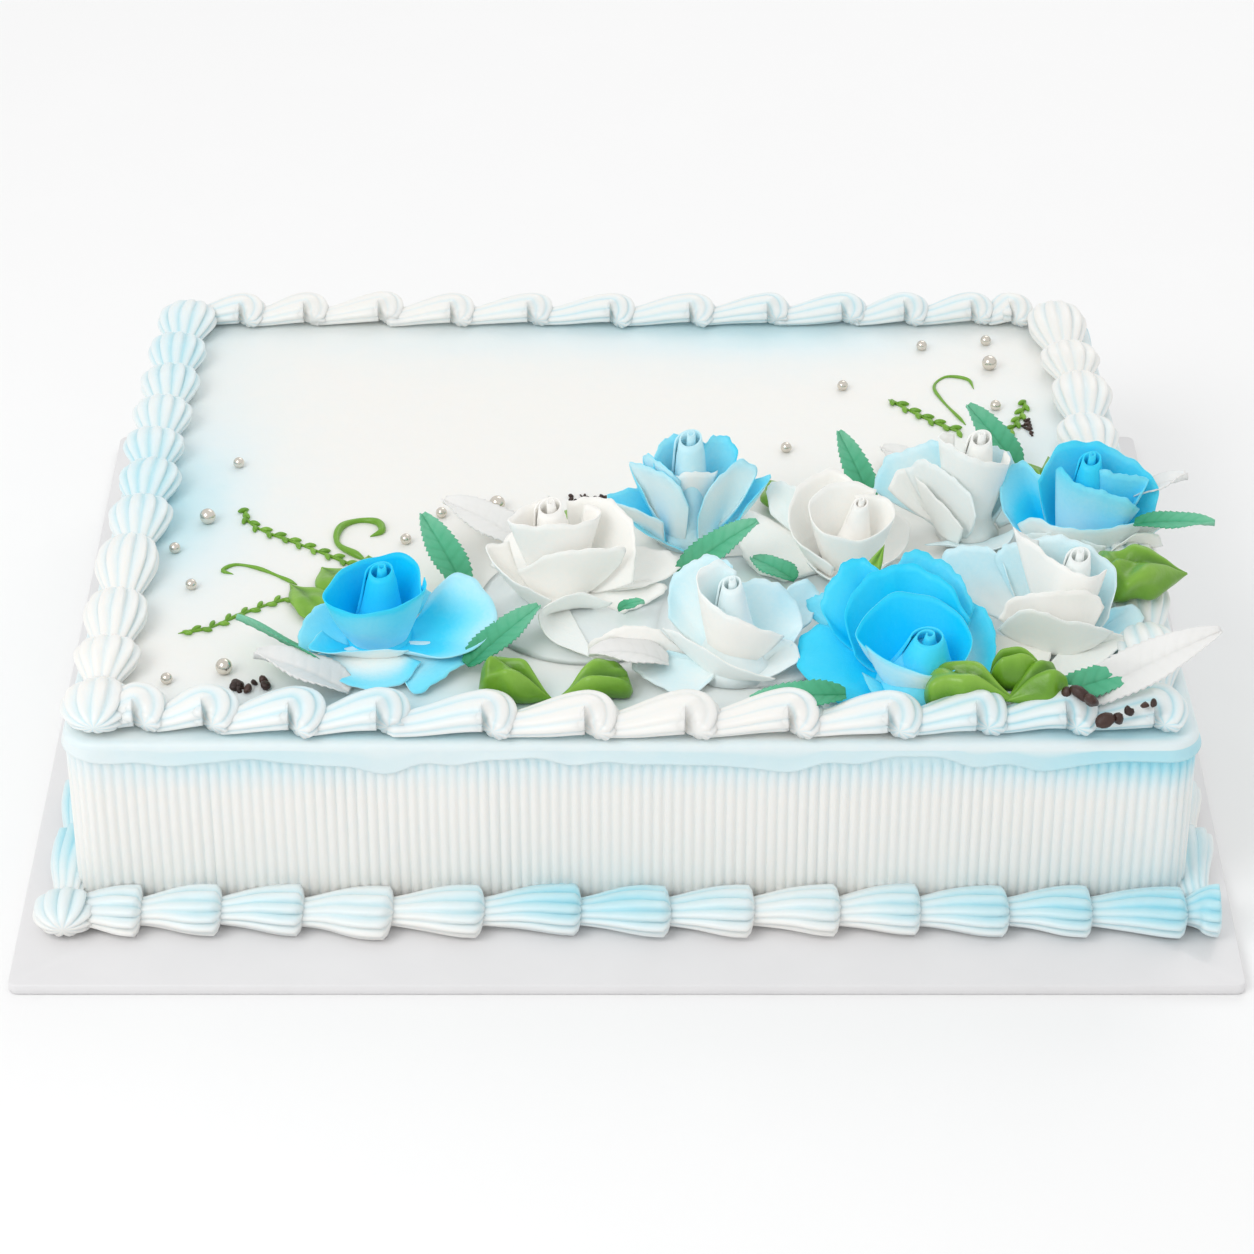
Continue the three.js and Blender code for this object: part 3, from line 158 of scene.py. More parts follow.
# Roses: name, slot, place on the icing, foot, bud and petals. A bud is a rolled cone. A petal is a sheet
# from the foot to a rim, drawn through places given as x, y and height in millimetres about the rose's
# place. Its first value bends its profile down (1) or up (-1). The next is how blue it is inside at the
# foot, inside at the rim, and on its back. grain roughens it. It has PETAL_STEPS from foot to rim.
PETAL_STEPS = 14
ROSES = [
    rose(
        "left_blue", "rose_blue", (-85, -75), (0, -2),
        {"lean": (1, 2), "wide": 9.5, "tip": 5.5, "height": 31, "tint": 0.95},
        petal(0.3, (1.0, 0.95, 0.62), (15, -4, 23), (13, 9, 27), (5, 13, 28), (-9, 6, 27.5), (-18, -10, 25),
              (-8, -19, 24), (6, -15, 24), (16, -6, 25), (16, 0, 26)),
        petal(0.3, (0.8, 0.42, 0.2), (17, 9, 13), (28, 13, 20), (40, 1, 14), (36, -13, 8), (23, -21, 7),
              (9, -17, 8)),
        petal(0.2, (0.8, 0.72, 0.1), (-19, -9, 10), (-23, -17, 8.5), (-9, -19, 8.5), (11, -18, 9)),
        petal(0.2, (0.6, 0.5, 0.25), (-14, 6, 15), (-23, -1, 13), (-27, -10, 10), (-26, -16, 5)),
        petal(0.1, (0.1, 0.62, 0.1), (-22, -14, 4), (-15, -27, 3), (-2, -33, 2.5), (10, -29, 3.5),
              (15, -20, 5)),
        petal(-0.2, (0.2, 0.6, 0.15), (36, -10, 6), (29, -21, 4.5), (15, -34, 2), (9, -27, 3)),
        petal(0.1, (0.7, 0.6, 0.2), (-21, 5, 9), (-13, 20, 12), (5, 24, 13), (20, 14, 9)),
    ),
    rose(
        "front_white", "rose_white", (-26, -43), (2, -4),
        {"lean": (-3, 3), "wide": 9, "tip": 5.5, "height": 38, "tint": 0},
        petal(0.1, (0.02, 0, 0.02), (11, 4, 34), (17, 2, 33), (13, -5, 32), (-2, -8, 32), (-15, -6, 33),
              (-9, 1, 35), (-1, 5, 36)),
        petal(0.25, (0.02, 0, 0.02), (-12, -13, 17), (-1, -13, 23), (13, -13, 26), (25, -11, 25),
              (24, -10, 18)),
        petal(0.2, (0.02, 0, 0.02), (5, 9, 32), (17, 8, 34), (27, 0, 30), (29, -8, 23), (28, -12, 11)),
        petal(0.35, (0.02, 0, 0.06), (-15, 0, 20), (-23, -3, 20), (-14, -16, 15), (0, -22, 11)),
        petal(0.7, (0.02, 0, 0.06), (21, -21, 9), (9, -22, 13), (-4, -30, 11), (1, -40, 5.5), (16, -48, 3)),
        petal(0.1, (0.02, 0, 0.06), (28, 12, 12), (40, 10, 10), (45, 3, 8), (32, -8, 7)),
        petal(-0.1, (0.02, 0, 0.06), (33, -2, 7), (40, -7, 5), (25, -19, 3)),
        petal(0.1, (0.02, 0, 0.06), (-22, 4, 8), (-14, 20, 13), (6, 24, 14), (20, 14, 10)),
    ),
    rose(
        "upper_blue", "rose_pale_blue", (22, -8), (0, 0),
        {"lean": (0, 0), "wide": 7.5, "tip": 5.5, "height": 44.3, "tint": 0.33},
        petal(0.3, (0.6, 0.65, 0.5), (2, -1, 33), (7, 4, 38.5), (12, 6, 39), (17, 3, 36), (16, 0, 30)),
        petal(0.3, (0.5, 0.55, 0.4), (-13, -2, 30), (-11, 2, 36.5), (-6, 6, 39), (2, 7, 39), (8, 5, 34)),
        petal(0.2, (0.6, 0.75, 0.3), (-15, 1, 26), (-16, 3, 33), (-8, -5, 33), (-3, -6, 27)),
        petal(0.3, (0.55, 0.6, 0.22), (-16, -2, 20), (-21, 3, 29), (-12, -3, 31), (-5, -8, 29),
              (0, -9, 19)),
        petal(0.3, (0.55, 0.6, 0.25), (3, -11, 15), (7, -8, 26), (17, -2, 33), (24, -2, 30), (20, -4, 21)),
        petal(0.3, (0.3, 0.2, 0.06), (-10, -3, 27), (0, -6, 31), (10, -3, 30)),
        petal(0.3, (0.7, 0.62, 0.14), (-17, 5, 19), (-24, 2, 19), (-29, -1, 17), (-18, -6, 16),
              (-9, -9, 12)),
        petal(0.1, (0.2, 0.55, 0.3), (-22, -2, 10), (-14, -8, 6), (0, -12, 1.5)),
        petal(0.3, (0.45, 0.62, 0.35), (20, 0, 24), (29, -1, 27), (21, -5, 17), (15, -9, 9), (5, -11, 3)),
        petal(0.2, (0.5, 0.6, 0.3), (-20, 8, 12), (-12, 19, 19), (8, 21, 20), (22, 10, 14)),
    ),
    rose(
        "spiral_white", "rose_white", (76, -26), (2, -3),
        {"lean": (4, 2), "wide": 8, "tip": 3.2, "height": 28.5, "tint": 0},
        petal(0.3, (0.02, 0, 0.02), (4, 5, 27), (14, 5, 26), (18, -2, 24), (15, -9, 21.5), (5, -14, 19),
              (-8, -11, 21), (-12, 1, 25), (-5, 8, 29), (4, 9, 29), (12, 7, 27)),
        petal(0.3, (0.02, 0, 0.02), (6, 12, 26), (-3, 18, 29), (-14, 13, 26), (-19, 3, 22), (-17, -9, 17),
              (-4, -19, 11)),
        petal(0.2, (0.12, 0.05, 0.02), (-25, 16, 12), (-26, 23, 18), (-21, 22, 22), (-14, 16, 21)),
        petal(0.1, (0.02, 0, 0.05), (-26, 20, 8), (-35, 20, 10), (-37, 10, 7), (-32, -8, 4), (-21, -16, 3)),
        petal(0.2, (0.02, 0, 0.05), (17, 15, 15), (24, 9, 12), (22, 0, 7), (13, -10, 5)),
        petal(0.2, (0.02, 0, 0.05), (-13, -13, 9), (-4, -20, 7), (6, -19, 8)),
        petal(0.1, (0.02, 0, 0.05), (-14, 19, 12), (2, 25, 15), (17, 19, 12)),
    ),
    rose(
        "upper_white", "rose_white", (122, -6), (0, 1),
        {"lean": (3, 1), "wide": 7.5, "tip": 5, "height": 42, "tint": 0.03},
        petal(0.2, (0.05, 0.02, 0.04), (-6, 5, 40), (-12, 1, 40.5), (-4, -6, 38), (5, -8, 36), (13, -4, 33),
              (12, 4, 33)),
        petal(0.3, (0.12, 0.1, 0.05), (-23, 4, 25), (-17, 2, 30), (-8, -5, 29), (-1, -12, 24),
              (1, -17, 18)),
        petal(0.3, (0.1, 0.04, 0), (-29, 5, 17), (-24, 8, 23), (-17, 0, 22), (-9, -8, 17), (-3, -14, 11)),
        petal(0.3, (0.25, 0.3, 0.15), (-34, 10, 13), (-29, 18, 22), (-20, 16, 27), (-11, 14, 31),
              (-4, 10, 29)),
        petal(0.3, (0.25, 0.3, 0.15), (4, 9, 33), (11, 9, 31), (16, 7, 26), (14, 0, 18)),
        petal(0.1, (0.15, 0.12, 0.08), (-16, -12, 4), (-4, -17, 6), (11, -17, 6), (17, -9, 9)),
        petal(0.1, (0.15, 0.1, 0.05), (-12, 16, 12), (6, 23, 17), (22, 13, 13), (22, 0, 9)),
    ),
    rose(
        "right_blue", "rose_blue", (160, -18), (0, 1),
        {"lean": (3, 1), "wide": 8, "tip": 4.5, "height": 40.5, "tint": 0.85},
        petal(0.35, (0.75, 0.72, 0.4), (-15, 3, 28), (-8, 8, 39), (5, 9, 41), (19, 6, 35), (27, 1, 27),
              (26, -3, 15)),
        petal(0.35, (0.95, 0.5, 0.3), (-13, 8, 27), (-20, 14, 30), (-27, 9, 25), (-27, 5, 17),
              (-22, -1, 10)),
        petal(0.3, (0.75, 0.62, 0.5), (-9, 2, 33), (-8, 0, 36), (-1, -5, 32), (16, -10, 28), (20, -7, 23)),
        petal(0.3, (0.7, 0.62, 0.45), (3, 1, 34), (10, -2, 35), (23, 0, 31), (20, -4, 26)),
        petal(0.5, (0.9, 0.8, 0.1), (-22, -4, 15), (-18, -8, 20), (-8, -15, 20), (6, -15, 20),
              (22, -9, 19)),
        petal(0.3, (0.25, 0.15, 0.12), (-22, -6, 12), (-14, -12, 16), (-4, -14, 16), (8, -18, 14)),
        petal(0.2, (0.3, 0.25, 0.0), (6, -14, 15), (24, -6, 19), (32, -4, 17), (24, -8, 12)),
        petal(0.2, (0.1, 0.1, 0.0), (9, -16, 10), (18, -13, 16), (27, -11, 14), (29, -9, 9)),
        petal(0.2, (0.7, 0.6, 0.3), (-20, 8, 14), (-6, 20, 24), (12, 20, 25), (24, 8, 18)),
    ),
    rose(
        "centre_white", "rose_white", (34, -88), (2, -2),
        {"lean": (-1, 2), "wide": 10, "tip": 4.3, "height": 34.5, "tint": 0.14},
        petal(0.25, (0.2, 0.12, 0.03), (3, 4, 35), (-3, 6, 37.5), (-10, 2, 36), (-9, -5, 31), (-1, -12, 28),
              (9, -13, 24), (19, -11, 18)),
        petal(0.35, (0.12, 0.26, 0.12), (-20, 8, 14), (-19, 17, 22), (-12, 19, 29), (-5, 19, 32),
              (2, 14, 30)),
        petal(0.35, (0.2, 0.24, 0.1), (4, 12, 25), (13, 12, 26), (22, 12, 20), (26, 7, 12), (22, -2, 8)),
        petal(0.3, (0.2, 0.25, 0.1), (18, 19, 15), (26, 24, 18), (32, 23, 14), (29, 12, 8)),
        petal(0.3, (0.02, 0, 0.08), (-22, 2, 13), (-20, -4, 16), (-9, -12, 14.5), (5, -20, 10.5),
              (16, -21, 7)),
        petal(0.4, (0.02, 0, 0.02), (-46, -4, 4), (-47, -3, 10), (-36, -1, 15), (-23, -1, 15)),
        petal(-0.3, (0.1, 0.22, 0.1), (-20, -3, 7), (-30, -4, 5), (-32, -9, 4), (-25, -17, 2.5),
              (-14, -22, 2), (-6, -17, 4)),
        petal(0.1, (0.1, 0.12, 0.1), (12, -5, 12), (22, -1, 10), (24, -8, 6), (13, -16, 4)),
    ),
    rose(
        "big_blue", "rose_blue", (97, -100), (1, -4),
        {"lean": (3, 0), "wide": 13.5, "tip": 6.5, "height": 22.5, "tint": 0.8},
        petal(0.4, (1.0, 0.95, 0.3), (-14, -7, 15), (-20, 1, 19), (-13, 12, 23), (-3, 15, 26.5),
              (10, 12, 25), (19, 0, 19.5), (14, -12, 14.5), (3, -16, 13.5), (-10, -11, 16), (-17, -4, 18)),
        petal(0.45, (0.95, 0.92, 0.6), (-20, 0, 11), (-23, 13, 20), (-16, 23, 27), (-2, 26, 31),
              (11, 18, 29.5), (19, 8, 20)),
        petal(0.4, (1.0, 0.85, 0.6), (-27, 12, 12), (-31, 21, 19), (-25, 27, 28), (-18, 30, 31),
              (-11, 26, 29)),
        petal(0.4, (0.9, 0.72, 0.5), (-6, 26, 29), (1, 32, 33), (14, 27, 29), (21, 16, 20)),
        petal(0.35, (0.32, 0.78, 0.5), (17, 22, 21), (25, 17, 18), (28, 7, 12), (25, -6, 8), (18, -13, 6)),
        petal(0.3, (0.7, 0.6, 0.5), (-34, 28, 8), (-35, 32, 13), (-27, 30, 17)),
        petal(-0.2, (0.9, 0.8, 0.5), (-28, 19, 11), (-37, 16, 9), (-39, 1, 5.5), (-30, -12, 3),
              (-20, -18, 2), (-10, -18, 3), grain=1),
        petal(-0.2, (0.8, 0.66, 0.4), (-18, -8, 9), (-13, -17, 6), (-4, -19, 4), (8, -18, 4), grain=0.6),
        petal(0.3, (0.9, 0.75, 0.7), (-5, -17, 3), (6, -23, 1.6), (15, -15, 4)),
        petal(0.2, (0.4, 0.6, 0.4), (8, -17, 4), (19, -14, 5), (25, -3, 6)),
    ),
    rose(
        "right_white", "rose_white", (147, -78), (2, 2),
        {"lean": (5, 5), "wide": 8, "tip": 4.8, "height": 35, "tint": 0.06},
        petal(0.1, (0.1, 0.05, 0), (-6, 16, 33), (-15, 15, 38), (-10, 11, 36), (-1, 3, 33), (9, -3, 30.5),
              (16, 2, 29)),
        petal(0.25, (0.04, 0.02, 0), (-21, -9, 17), (-16, -5, 23), (-5, -7, 27), (11, -6, 25.5),
              (15, -6, 20)),
        petal(0.25, (0.03, 0.05, 0.03), (-21, -8, 12), (-16, -11, 20), (-10, -13, 24), (0, -14, 20.5),
              (9, -14, 18), (18, -12, 14)),
        petal(0.35, (0.04, 0.26, 0.1), (-34, 14, 12), (-38, 24, 22), (-31, 24, 26), (-20, 19, 26),
              (-16, 12, 20)),
        petal(0.2, (0.15, 0.26, 0.1), (-21, 17, 25), (-18, 18, 29), (-13, 18, 31), (-9, 14, 27)),
        petal(0.35, (0.24, 0.24, 0.1), (-9, 17, 32), (-1, 15, 35.5), (12, 11, 33), (20, 6, 26),
              (17, -4, 14)),
        petal(-0.2, (0.04, 0.03, 0.03), (17, -8, 11), (23, -8, 8), (11, -19, 4), (0, -27, 2.5),
              (-4, -18, 5)),
        petal(-0.1, (0, 0, 0.05), (-21, -8, 10), (-26, -14, 6), (-18, -20, 3), (-4, -17, 4)),
        petal(0.1, (0.2, 0.32, 0.15), (17, 2, 13), (27, 8, 12), (30, 3, 9), (21, -8, 5)),
    ),
]

# Leaves run from base to tip. roll turns a leaf about its length and bend arches it. Each is drawn in
# steps across and along.
LEAF_KINDS = {
    "teal": {"slot": "leaf_teal", "thick": 0.9, "ruffle": 0.4, "tooth": 2.1, "bite": 0.16},
    "pale": {"slot": "leaf_white", "thick": 0.9, "ruffle": 0.6, "tooth": 2.8, "bite": 0.1},
}
LEAF_STEPS = (17, 81)
LEAF_KEYS = ("base", "tip", "width", "roll", "bend")
LEAVES = named("leaf_teal", LEAF_KEYS, [
    ((-57, -46, 3), (-72.5, -21, 18), 14, 0, 1),
    ((-54, -96, 4), (-30, -73, 13), 14, 0, 1),
    ((-101, -95, 1.6), (-133.5, -78, 12), 12, 38, 1),
    ((18, -42, 5), (46, -34, 23), 14, 15, 2),
    ((58, -50, 9), (44, -33, 7), 12, 0, 1),
    ((88, 10, 4), (76.5, 30, 22), 12, 0, 1),
    ((143, 34, 4), (125, 52, 20), 15, 0, 1),
    ((73, -121, 9), (41, -122, 7.5), 13, -12, 1),
    ((141, -119, 7), (175, -117, 18), 12, 30, 1),
    ((178, -30, 19.5), (205, -37, 24), 12, 0, 1),
    ((-3, -66, 7), (6, -64, 9), 6, 0, 1),
]) + named("leaf_pale", LEAF_KEYS, [
    ((-94, -108, 1), (-126, -99, 10), 24, 12, 2),
    ((-34, -18, 2), (-66, 4, 8), 19, 0, 2),
    ((112, 30, 3), (94, 48, 4), 14, 0, 1),
    ((176, -14, 19), (199, -7, 25), 19, -20, 1),
    ((150, -119, 5), (197, -117, 32), 17, 30, 2),
    ((14, -96, 5), (-13, -97, 9), 16, 0, 3),
])

# Piped leaves of icing, fat and drawn out to a tip, with a fold down the middle. Each is drawn in steps
# along and around.
PIPED_STEPS = (57, 60)
PIPED = named("leaf_piped", ("base", "tip", "wide", "high"), [
    ((-95, -51, 0.5), (-108, -28, 0.5), 19, 4),
    ((-103, -64, 0.5), (-118.5, -39, 0.5), 15, 4),
    ((-50, -105, 0.5), (-25, -112, 1), 17, 14),
    ((2, -106, 0.5), (-24, -112, 1), 15, 11),
    ((62, 3, 2), (50, 28, 3), 16, 6),
    ((66, 5, 3), (75, 27, 5), 11, 6),
    ((150, 15, 2), (144, 34, 7), 11, 6),
    ((162, 13, 4), (168, 34, 12), 15, 7),
    ((163, -60, 9), (194.5, -52, 13), 26, 14),
    ((100, -112, 2), (131, -123, 8), 17, 13),
    ((146, -114, 3), (126, -123, 8), 17, 13),
    ((-20, -16, 0.5), (-19, 13, 0.5), 17, 4),
    ((-90, -36, 0.5), (-92, -20, 0.5), 9, 3),
    ((83, -59, 10), (89, -52, 25), 8, 4),
    ((-27, -20, 0.5), (-33, 9, 0.5), 9, 4),
    ((-13, -14, 0.5), (-6, 13, 0.5), 9, 4),
    ((155, 13, 3), (154, 34, 9), 9, 7),
    ((121, -111, 6), (147, -112, 8), 10, 13),
])

# The photograph's camera, solved from the corners of the board and the cake
CAMERA = {"place": (0.0, -1.2229, 0.8321), "down": 33.3, "focal_px": 4000.0, "frame_px": 1254.0}

# Square lights, in metres and watts, that all point to one place, and the even light of the room
AIM = (0, 0, 0.05)
LIGHTS = [
    {"name": "key", "place": (-0.9, -0.9, 1.3), "size": 0.9, "power": 9.4},
    {"name": "back", "place": (0.5, 1.4, 1.3), "size": 1.0, "power": 4.0},
]
ROOM_LIGHT = 0.8
FLOOR_HALF = 6.0

# Where the random draws of each kind of piece start
SEEDS = {"vines": 31, "crumbs": 33, "mounds": 51, "rows": 60, "roses": 80, "leaves": 200, "piped": 300}


# Numbers and noise

def lerp(a, b, t):
    return a + (b - a) * t


def smooth(x, low, high):
    t = np.clip((x - low) / (high - low), 0, 1)
    return t * t * (3 - 2 * t)


def wobble(seed, points, size):
    """Smooth noise, mostly between -1 and 1, with lumps of about size, at points (..., 3)."""
    waves = 7
    rng = np.random.default_rng(seed)
    total = 0
    for _ in range(waves):
        way = rng.normal(size=3)
        way *= rng.uniform(0.7, 1.5) * 2.2 / size / np.linalg.norm(way)
        total = total + np.sin(points @ way + rng.uniform(0, 6.28))
    return total / 3


def turned(points, axis, degrees):
    """Points (..., 3) turned about the origin."""
    axis = np.array(axis, float) / np.linalg.norm(axis)
    angle = math.radians(degrees)
    along = (points @ axis)[..., None] * axis
    across = np.cross(axis, points) * math.sin(angle)
    return points * math.cos(angle) + across + along * (1 - math.cos(angle))


def circle(count):
    """Angles evenly round a full turn."""
    return np.linspace(0, 2 * math.pi, count, endpoint=False)


def at_height(points, z):
    """Level points (n, 2) as places at height z."""
    return np.column_stack([points, np.full(len(points), z)])


def unit(vectors):
    return vectors / np.linalg.norm(vectors, axis=1, keepdims=True)


def rounded_ball(levels, count):
    """A unit ball as rings of count points, without its two poles."""
    level = np.linspace(-math.pi / 2, math.pi / 2, levels)[1:-1, None]
    around = circle(count)
    flat = np.broadcast_to(np.sin(level), (levels - 2, count))
    return np.stack([np.cos(level) * np.cos(around), np.cos(level) * np.sin(around), flat], -1)


def curve_points(points, count):
    """count points along a smooth curve through the given ones, evenly spaced."""
    points = np.array(points, float)
    ends = np.vstack([2 * points[0] - points[1], points, 2 * points[-1] - points[-2]])
    t = np.linspace(0, 1, 24, endpoint=False)[:, None]
    dense = []
    for a, b, c, d in zip(ends, ends[1:], ends[2:], ends[3:]):
        square, cube = 2 * a - 5 * b + 4 * c - d, 3 * b - a - 3 * c + d
        dense.append(0.5 * (2 * b + (c - a) * t + square * t**2 + cube * t**3))
    dense = np.vstack(dense + [points[-1:]])
    run = np.concatenate([[0], np.cumsum(np.linalg.norm(np.diff(dense, axis=0), axis=1))])
    at = np.linspace(0, run[-1], count)
    return np.stack([np.interp(at, run, dense[:, k]) for k in range(points.shape[1])], axis=1)


# Gathering and making meshes

def grid_quads(rows, cols, closed):
    """Quads of a grid of rows x cols points; closed joins the last column to the first."""
    r = np.arange(rows - 1)[:, None]
    c = np.arange(cols if closed else cols - 1)[None, :]
    after = (c + 1) % cols
    low, high = r * cols, (r + 1) * cols
    return np.stack([low + c, low + after, high + after, high + c], -1).reshape(-1, 4)


class Shape:
    """Points in millimetres, their faces and their tints, gathered into one piece."""

    def __init__(self):
        self.points, self.loops, self.sizes, self.tints = [], [], [], []
        self.count = 0

    def add(self, points, faces, tint):
        points = np.asarray(points, float).reshape(-1, 3)
        self.points.append(points)
        self.tints.append(np.broadcast_to(np.asarray(tint, float).reshape(-1), (len(points),)))
        for group in faces:
            group = np.asarray(group)
            self.loops.append((group + self.count).reshape(-1))
            self.sizes.append(np.full(len(group), group.shape[1]))
        self.count += len(points)

    def tube(self, rings, tint):
        """A closed tube through rings (n, around, 3), with a point in the middle of each end."""
        n, around = rings.shape[:2]
        points = np.vstack([rings.reshape(-1, 3), rings[0].mean(0), rings[-1].mean(0)])
        tint = np.broadcast_to(tint, (n, around))
        tints = np.concatenate([tint.reshape(-1), [tint[0].mean(), tint[-1].mean()]])
        k = np.arange(around)
        after = (k + 1) % around
        start = np.stack([after, k, np.full(around, n * around)], -1)
        last = (n - 1) * around
        end = np.stack([last + k, last + after, np.full(around, n * around + 1)], -1)
        self.add(points, [grid_quads(n, around, True), start, end], tints)

    def sheet(self, middle, thickness, over, under):
        """A closed sheet about the surface middle (n, m, 3), tinted over and under on its two faces."""
        n, m = middle.shape[:2]
        normal = np.cross(*np.gradient(middle, axis=(0, 1)))
        normal /= np.linalg.norm(normal, axis=-1, keepdims=True) + 1e-9
        offset = normal * np.broadcast_to(thickness, (n, m))[..., None] / 2
        points = np.vstack([(middle + offset).reshape(-1, 3), (middle - offset).reshape(-1, 3)])
        faces = grid_quads(n, m, False)
        other = n * m
        a = np.arange(n * m).reshape(n, m)
        edge = np.concatenate([a[:-1, 0], a[-1, :-1], a[:0:-1, -1], a[0, :0:-1]])
        after = np.roll(edge, -1)
        rim = np.stack([edge, edge + other, after + other, after], -1)
        tints = [np.broadcast_to(over, (n, m)).reshape(-1), np.broadcast_to(under, (n, m)).reshape(-1)]
        self.add(points, [faces[:, ::-1], faces + other, rim], np.concatenate(tints))

    def piece(self, name, material, slot, *nodes):
        """One mesh object of everything gathered, in metres, that stands for the given nodes."""
        points = np.concatenate(self.points) * MM
        loops = np.concatenate(self.loops)
        sizes = np.concatenate(self.sizes)
        mesh = bpy.data.meshes.new(name)
        mesh.vertices.add(len(points))
        mesh.vertices.foreach_set("co", points.reshape(-1).astype(np.float32))
        mesh.loops.add(len(loops))
        mesh.loops.foreach_set("vertex_index", loops.astype(np.int32))
        mesh.polygons.add(len(sizes))
        starts = np.concatenate([[0], np.cumsum(sizes)[:-1]])
        mesh.polygons.foreach_set("loop_start", starts.astype(np.int32))
        mesh.update(calc_edges=True)
        mesh.validate()
        mesh.polygons.foreach_set("use_smooth", np.ones(len(mesh.polygons), bool))
        tint = mesh.attributes.new("tint", "FLOAT", "POINT")
        tint.data.foreach_set("value", np.concatenate(self.tints).astype(np.float32))
        mesh.materials.append(material)
        made = bpy.data.objects.new(name, mesh)
        bpy.context.scene.collection.objects.link(made)
        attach(made, "root")
        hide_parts(*nodes)


# Materials

def linear(r, g, b):
    """A colour given as it shows on a screen, 0 to 255, as Blender's linear colour."""
    def channel(value):
        value /= 255
        return value / 12.92 if value <= 0.04045 else ((value + 0.055) / 1.055) ** 2.4
    return (channel(r), channel(g), channel(b), 1.0)


class Surface:
    """A material whose colour runs over stops by tint and grain, with bumps of two sizes."""

    def __init__(self, name, stops, roughness, grain, grain_mm, bumps, soft=0.0, metallic=0.0, shine=0.5):
        self.material = bpy.data.materials.new(name)
        self.material.use_nodes = True
        self.tree = self.material.node_tree
        self.shader = self.tree.nodes["Principled BSDF"]
        self.shader.inputs["Roughness"].default_value = roughness
        self.shader.inputs["Metallic"].default_value = metallic
        self.shader.inputs["Specular IOR Level"].default_value = shine
        if soft:
            self.shader.inputs["Subsurface Weight"].default_value = soft
            self.shader.inputs["Subsurface Radius"].default_value = (1.0, 0.9, 0.8)
            self.shader.inputs["Subsurface Scale"].default_value = 0.004
        self.place = self.node("ShaderNodeTexCoord").outputs["Object"]
        self.colour(stops, grain, grain_mm)
        self.bumps(bumps)

    def node(self, kind, **settings):
        made = self.tree.nodes.new(kind)
        for key, value in settings.items():
            setattr(made, key, value)
        return made

    def link(self, out, into):
        self.tree.links.new(out, into)

    def noise(self, size_mm):
        made = self.node("ShaderNodeTexNoise")
        made.inputs["Scale"].default_value = 1 / (size_mm * MM)
        made.inputs["Detail"].default_value = 3.0
        self.link(self.place, made.inputs["Vector"])
        return made.outputs["Fac"]

    def math(self, operation, a, b):
        made = self.node("ShaderNodeMath", operation=operation)
        for socket, value in zip(made.inputs, (a, b)):
            if isinstance(value, (int, float)):
                socket.default_value = value
            else:
                self.link(value, socket)
        return made.outputs[0]

    def colour(self, stops, grain, grain_mm):
        tint = self.node("ShaderNodeAttribute", attribute_name="tint").outputs["Fac"]
        spread = self.math("MULTIPLY", self.math("SUBTRACT", self.noise(grain_mm), 0.5), 2 * grain)
        ramp = self.node("ShaderNodeValToRGB")
        elements = ramp.color_ramp.elements
        while len(elements) < len(stops):
            elements.new(0.5)
        for element, (place, shade) in zip(elements, stops):
            element.position = place
            element.color = linear(*shade)
        self.link(self.math("ADD", tint, spread), ramp.inputs["Fac"])
        self.link(ramp.outputs["Color"], self.shader.inputs["Base Color"])

    def bumps(self, bumps):
        before = None
        for size_mm, height_mm in bumps:
            bump = self.node("ShaderNodeBump")
            bump.inputs["Strength"].default_value = 1.0
            bump.inputs["Distance"].default_value = height_mm * MM
            self.link(self.noise(size_mm), bump.inputs["Height"])
            if before is not None:
                self.link(before, bump.inputs["Normal"])
            before = bump.outputs["Normal"]
        self.link(before, self.shader.inputs["Normal"])


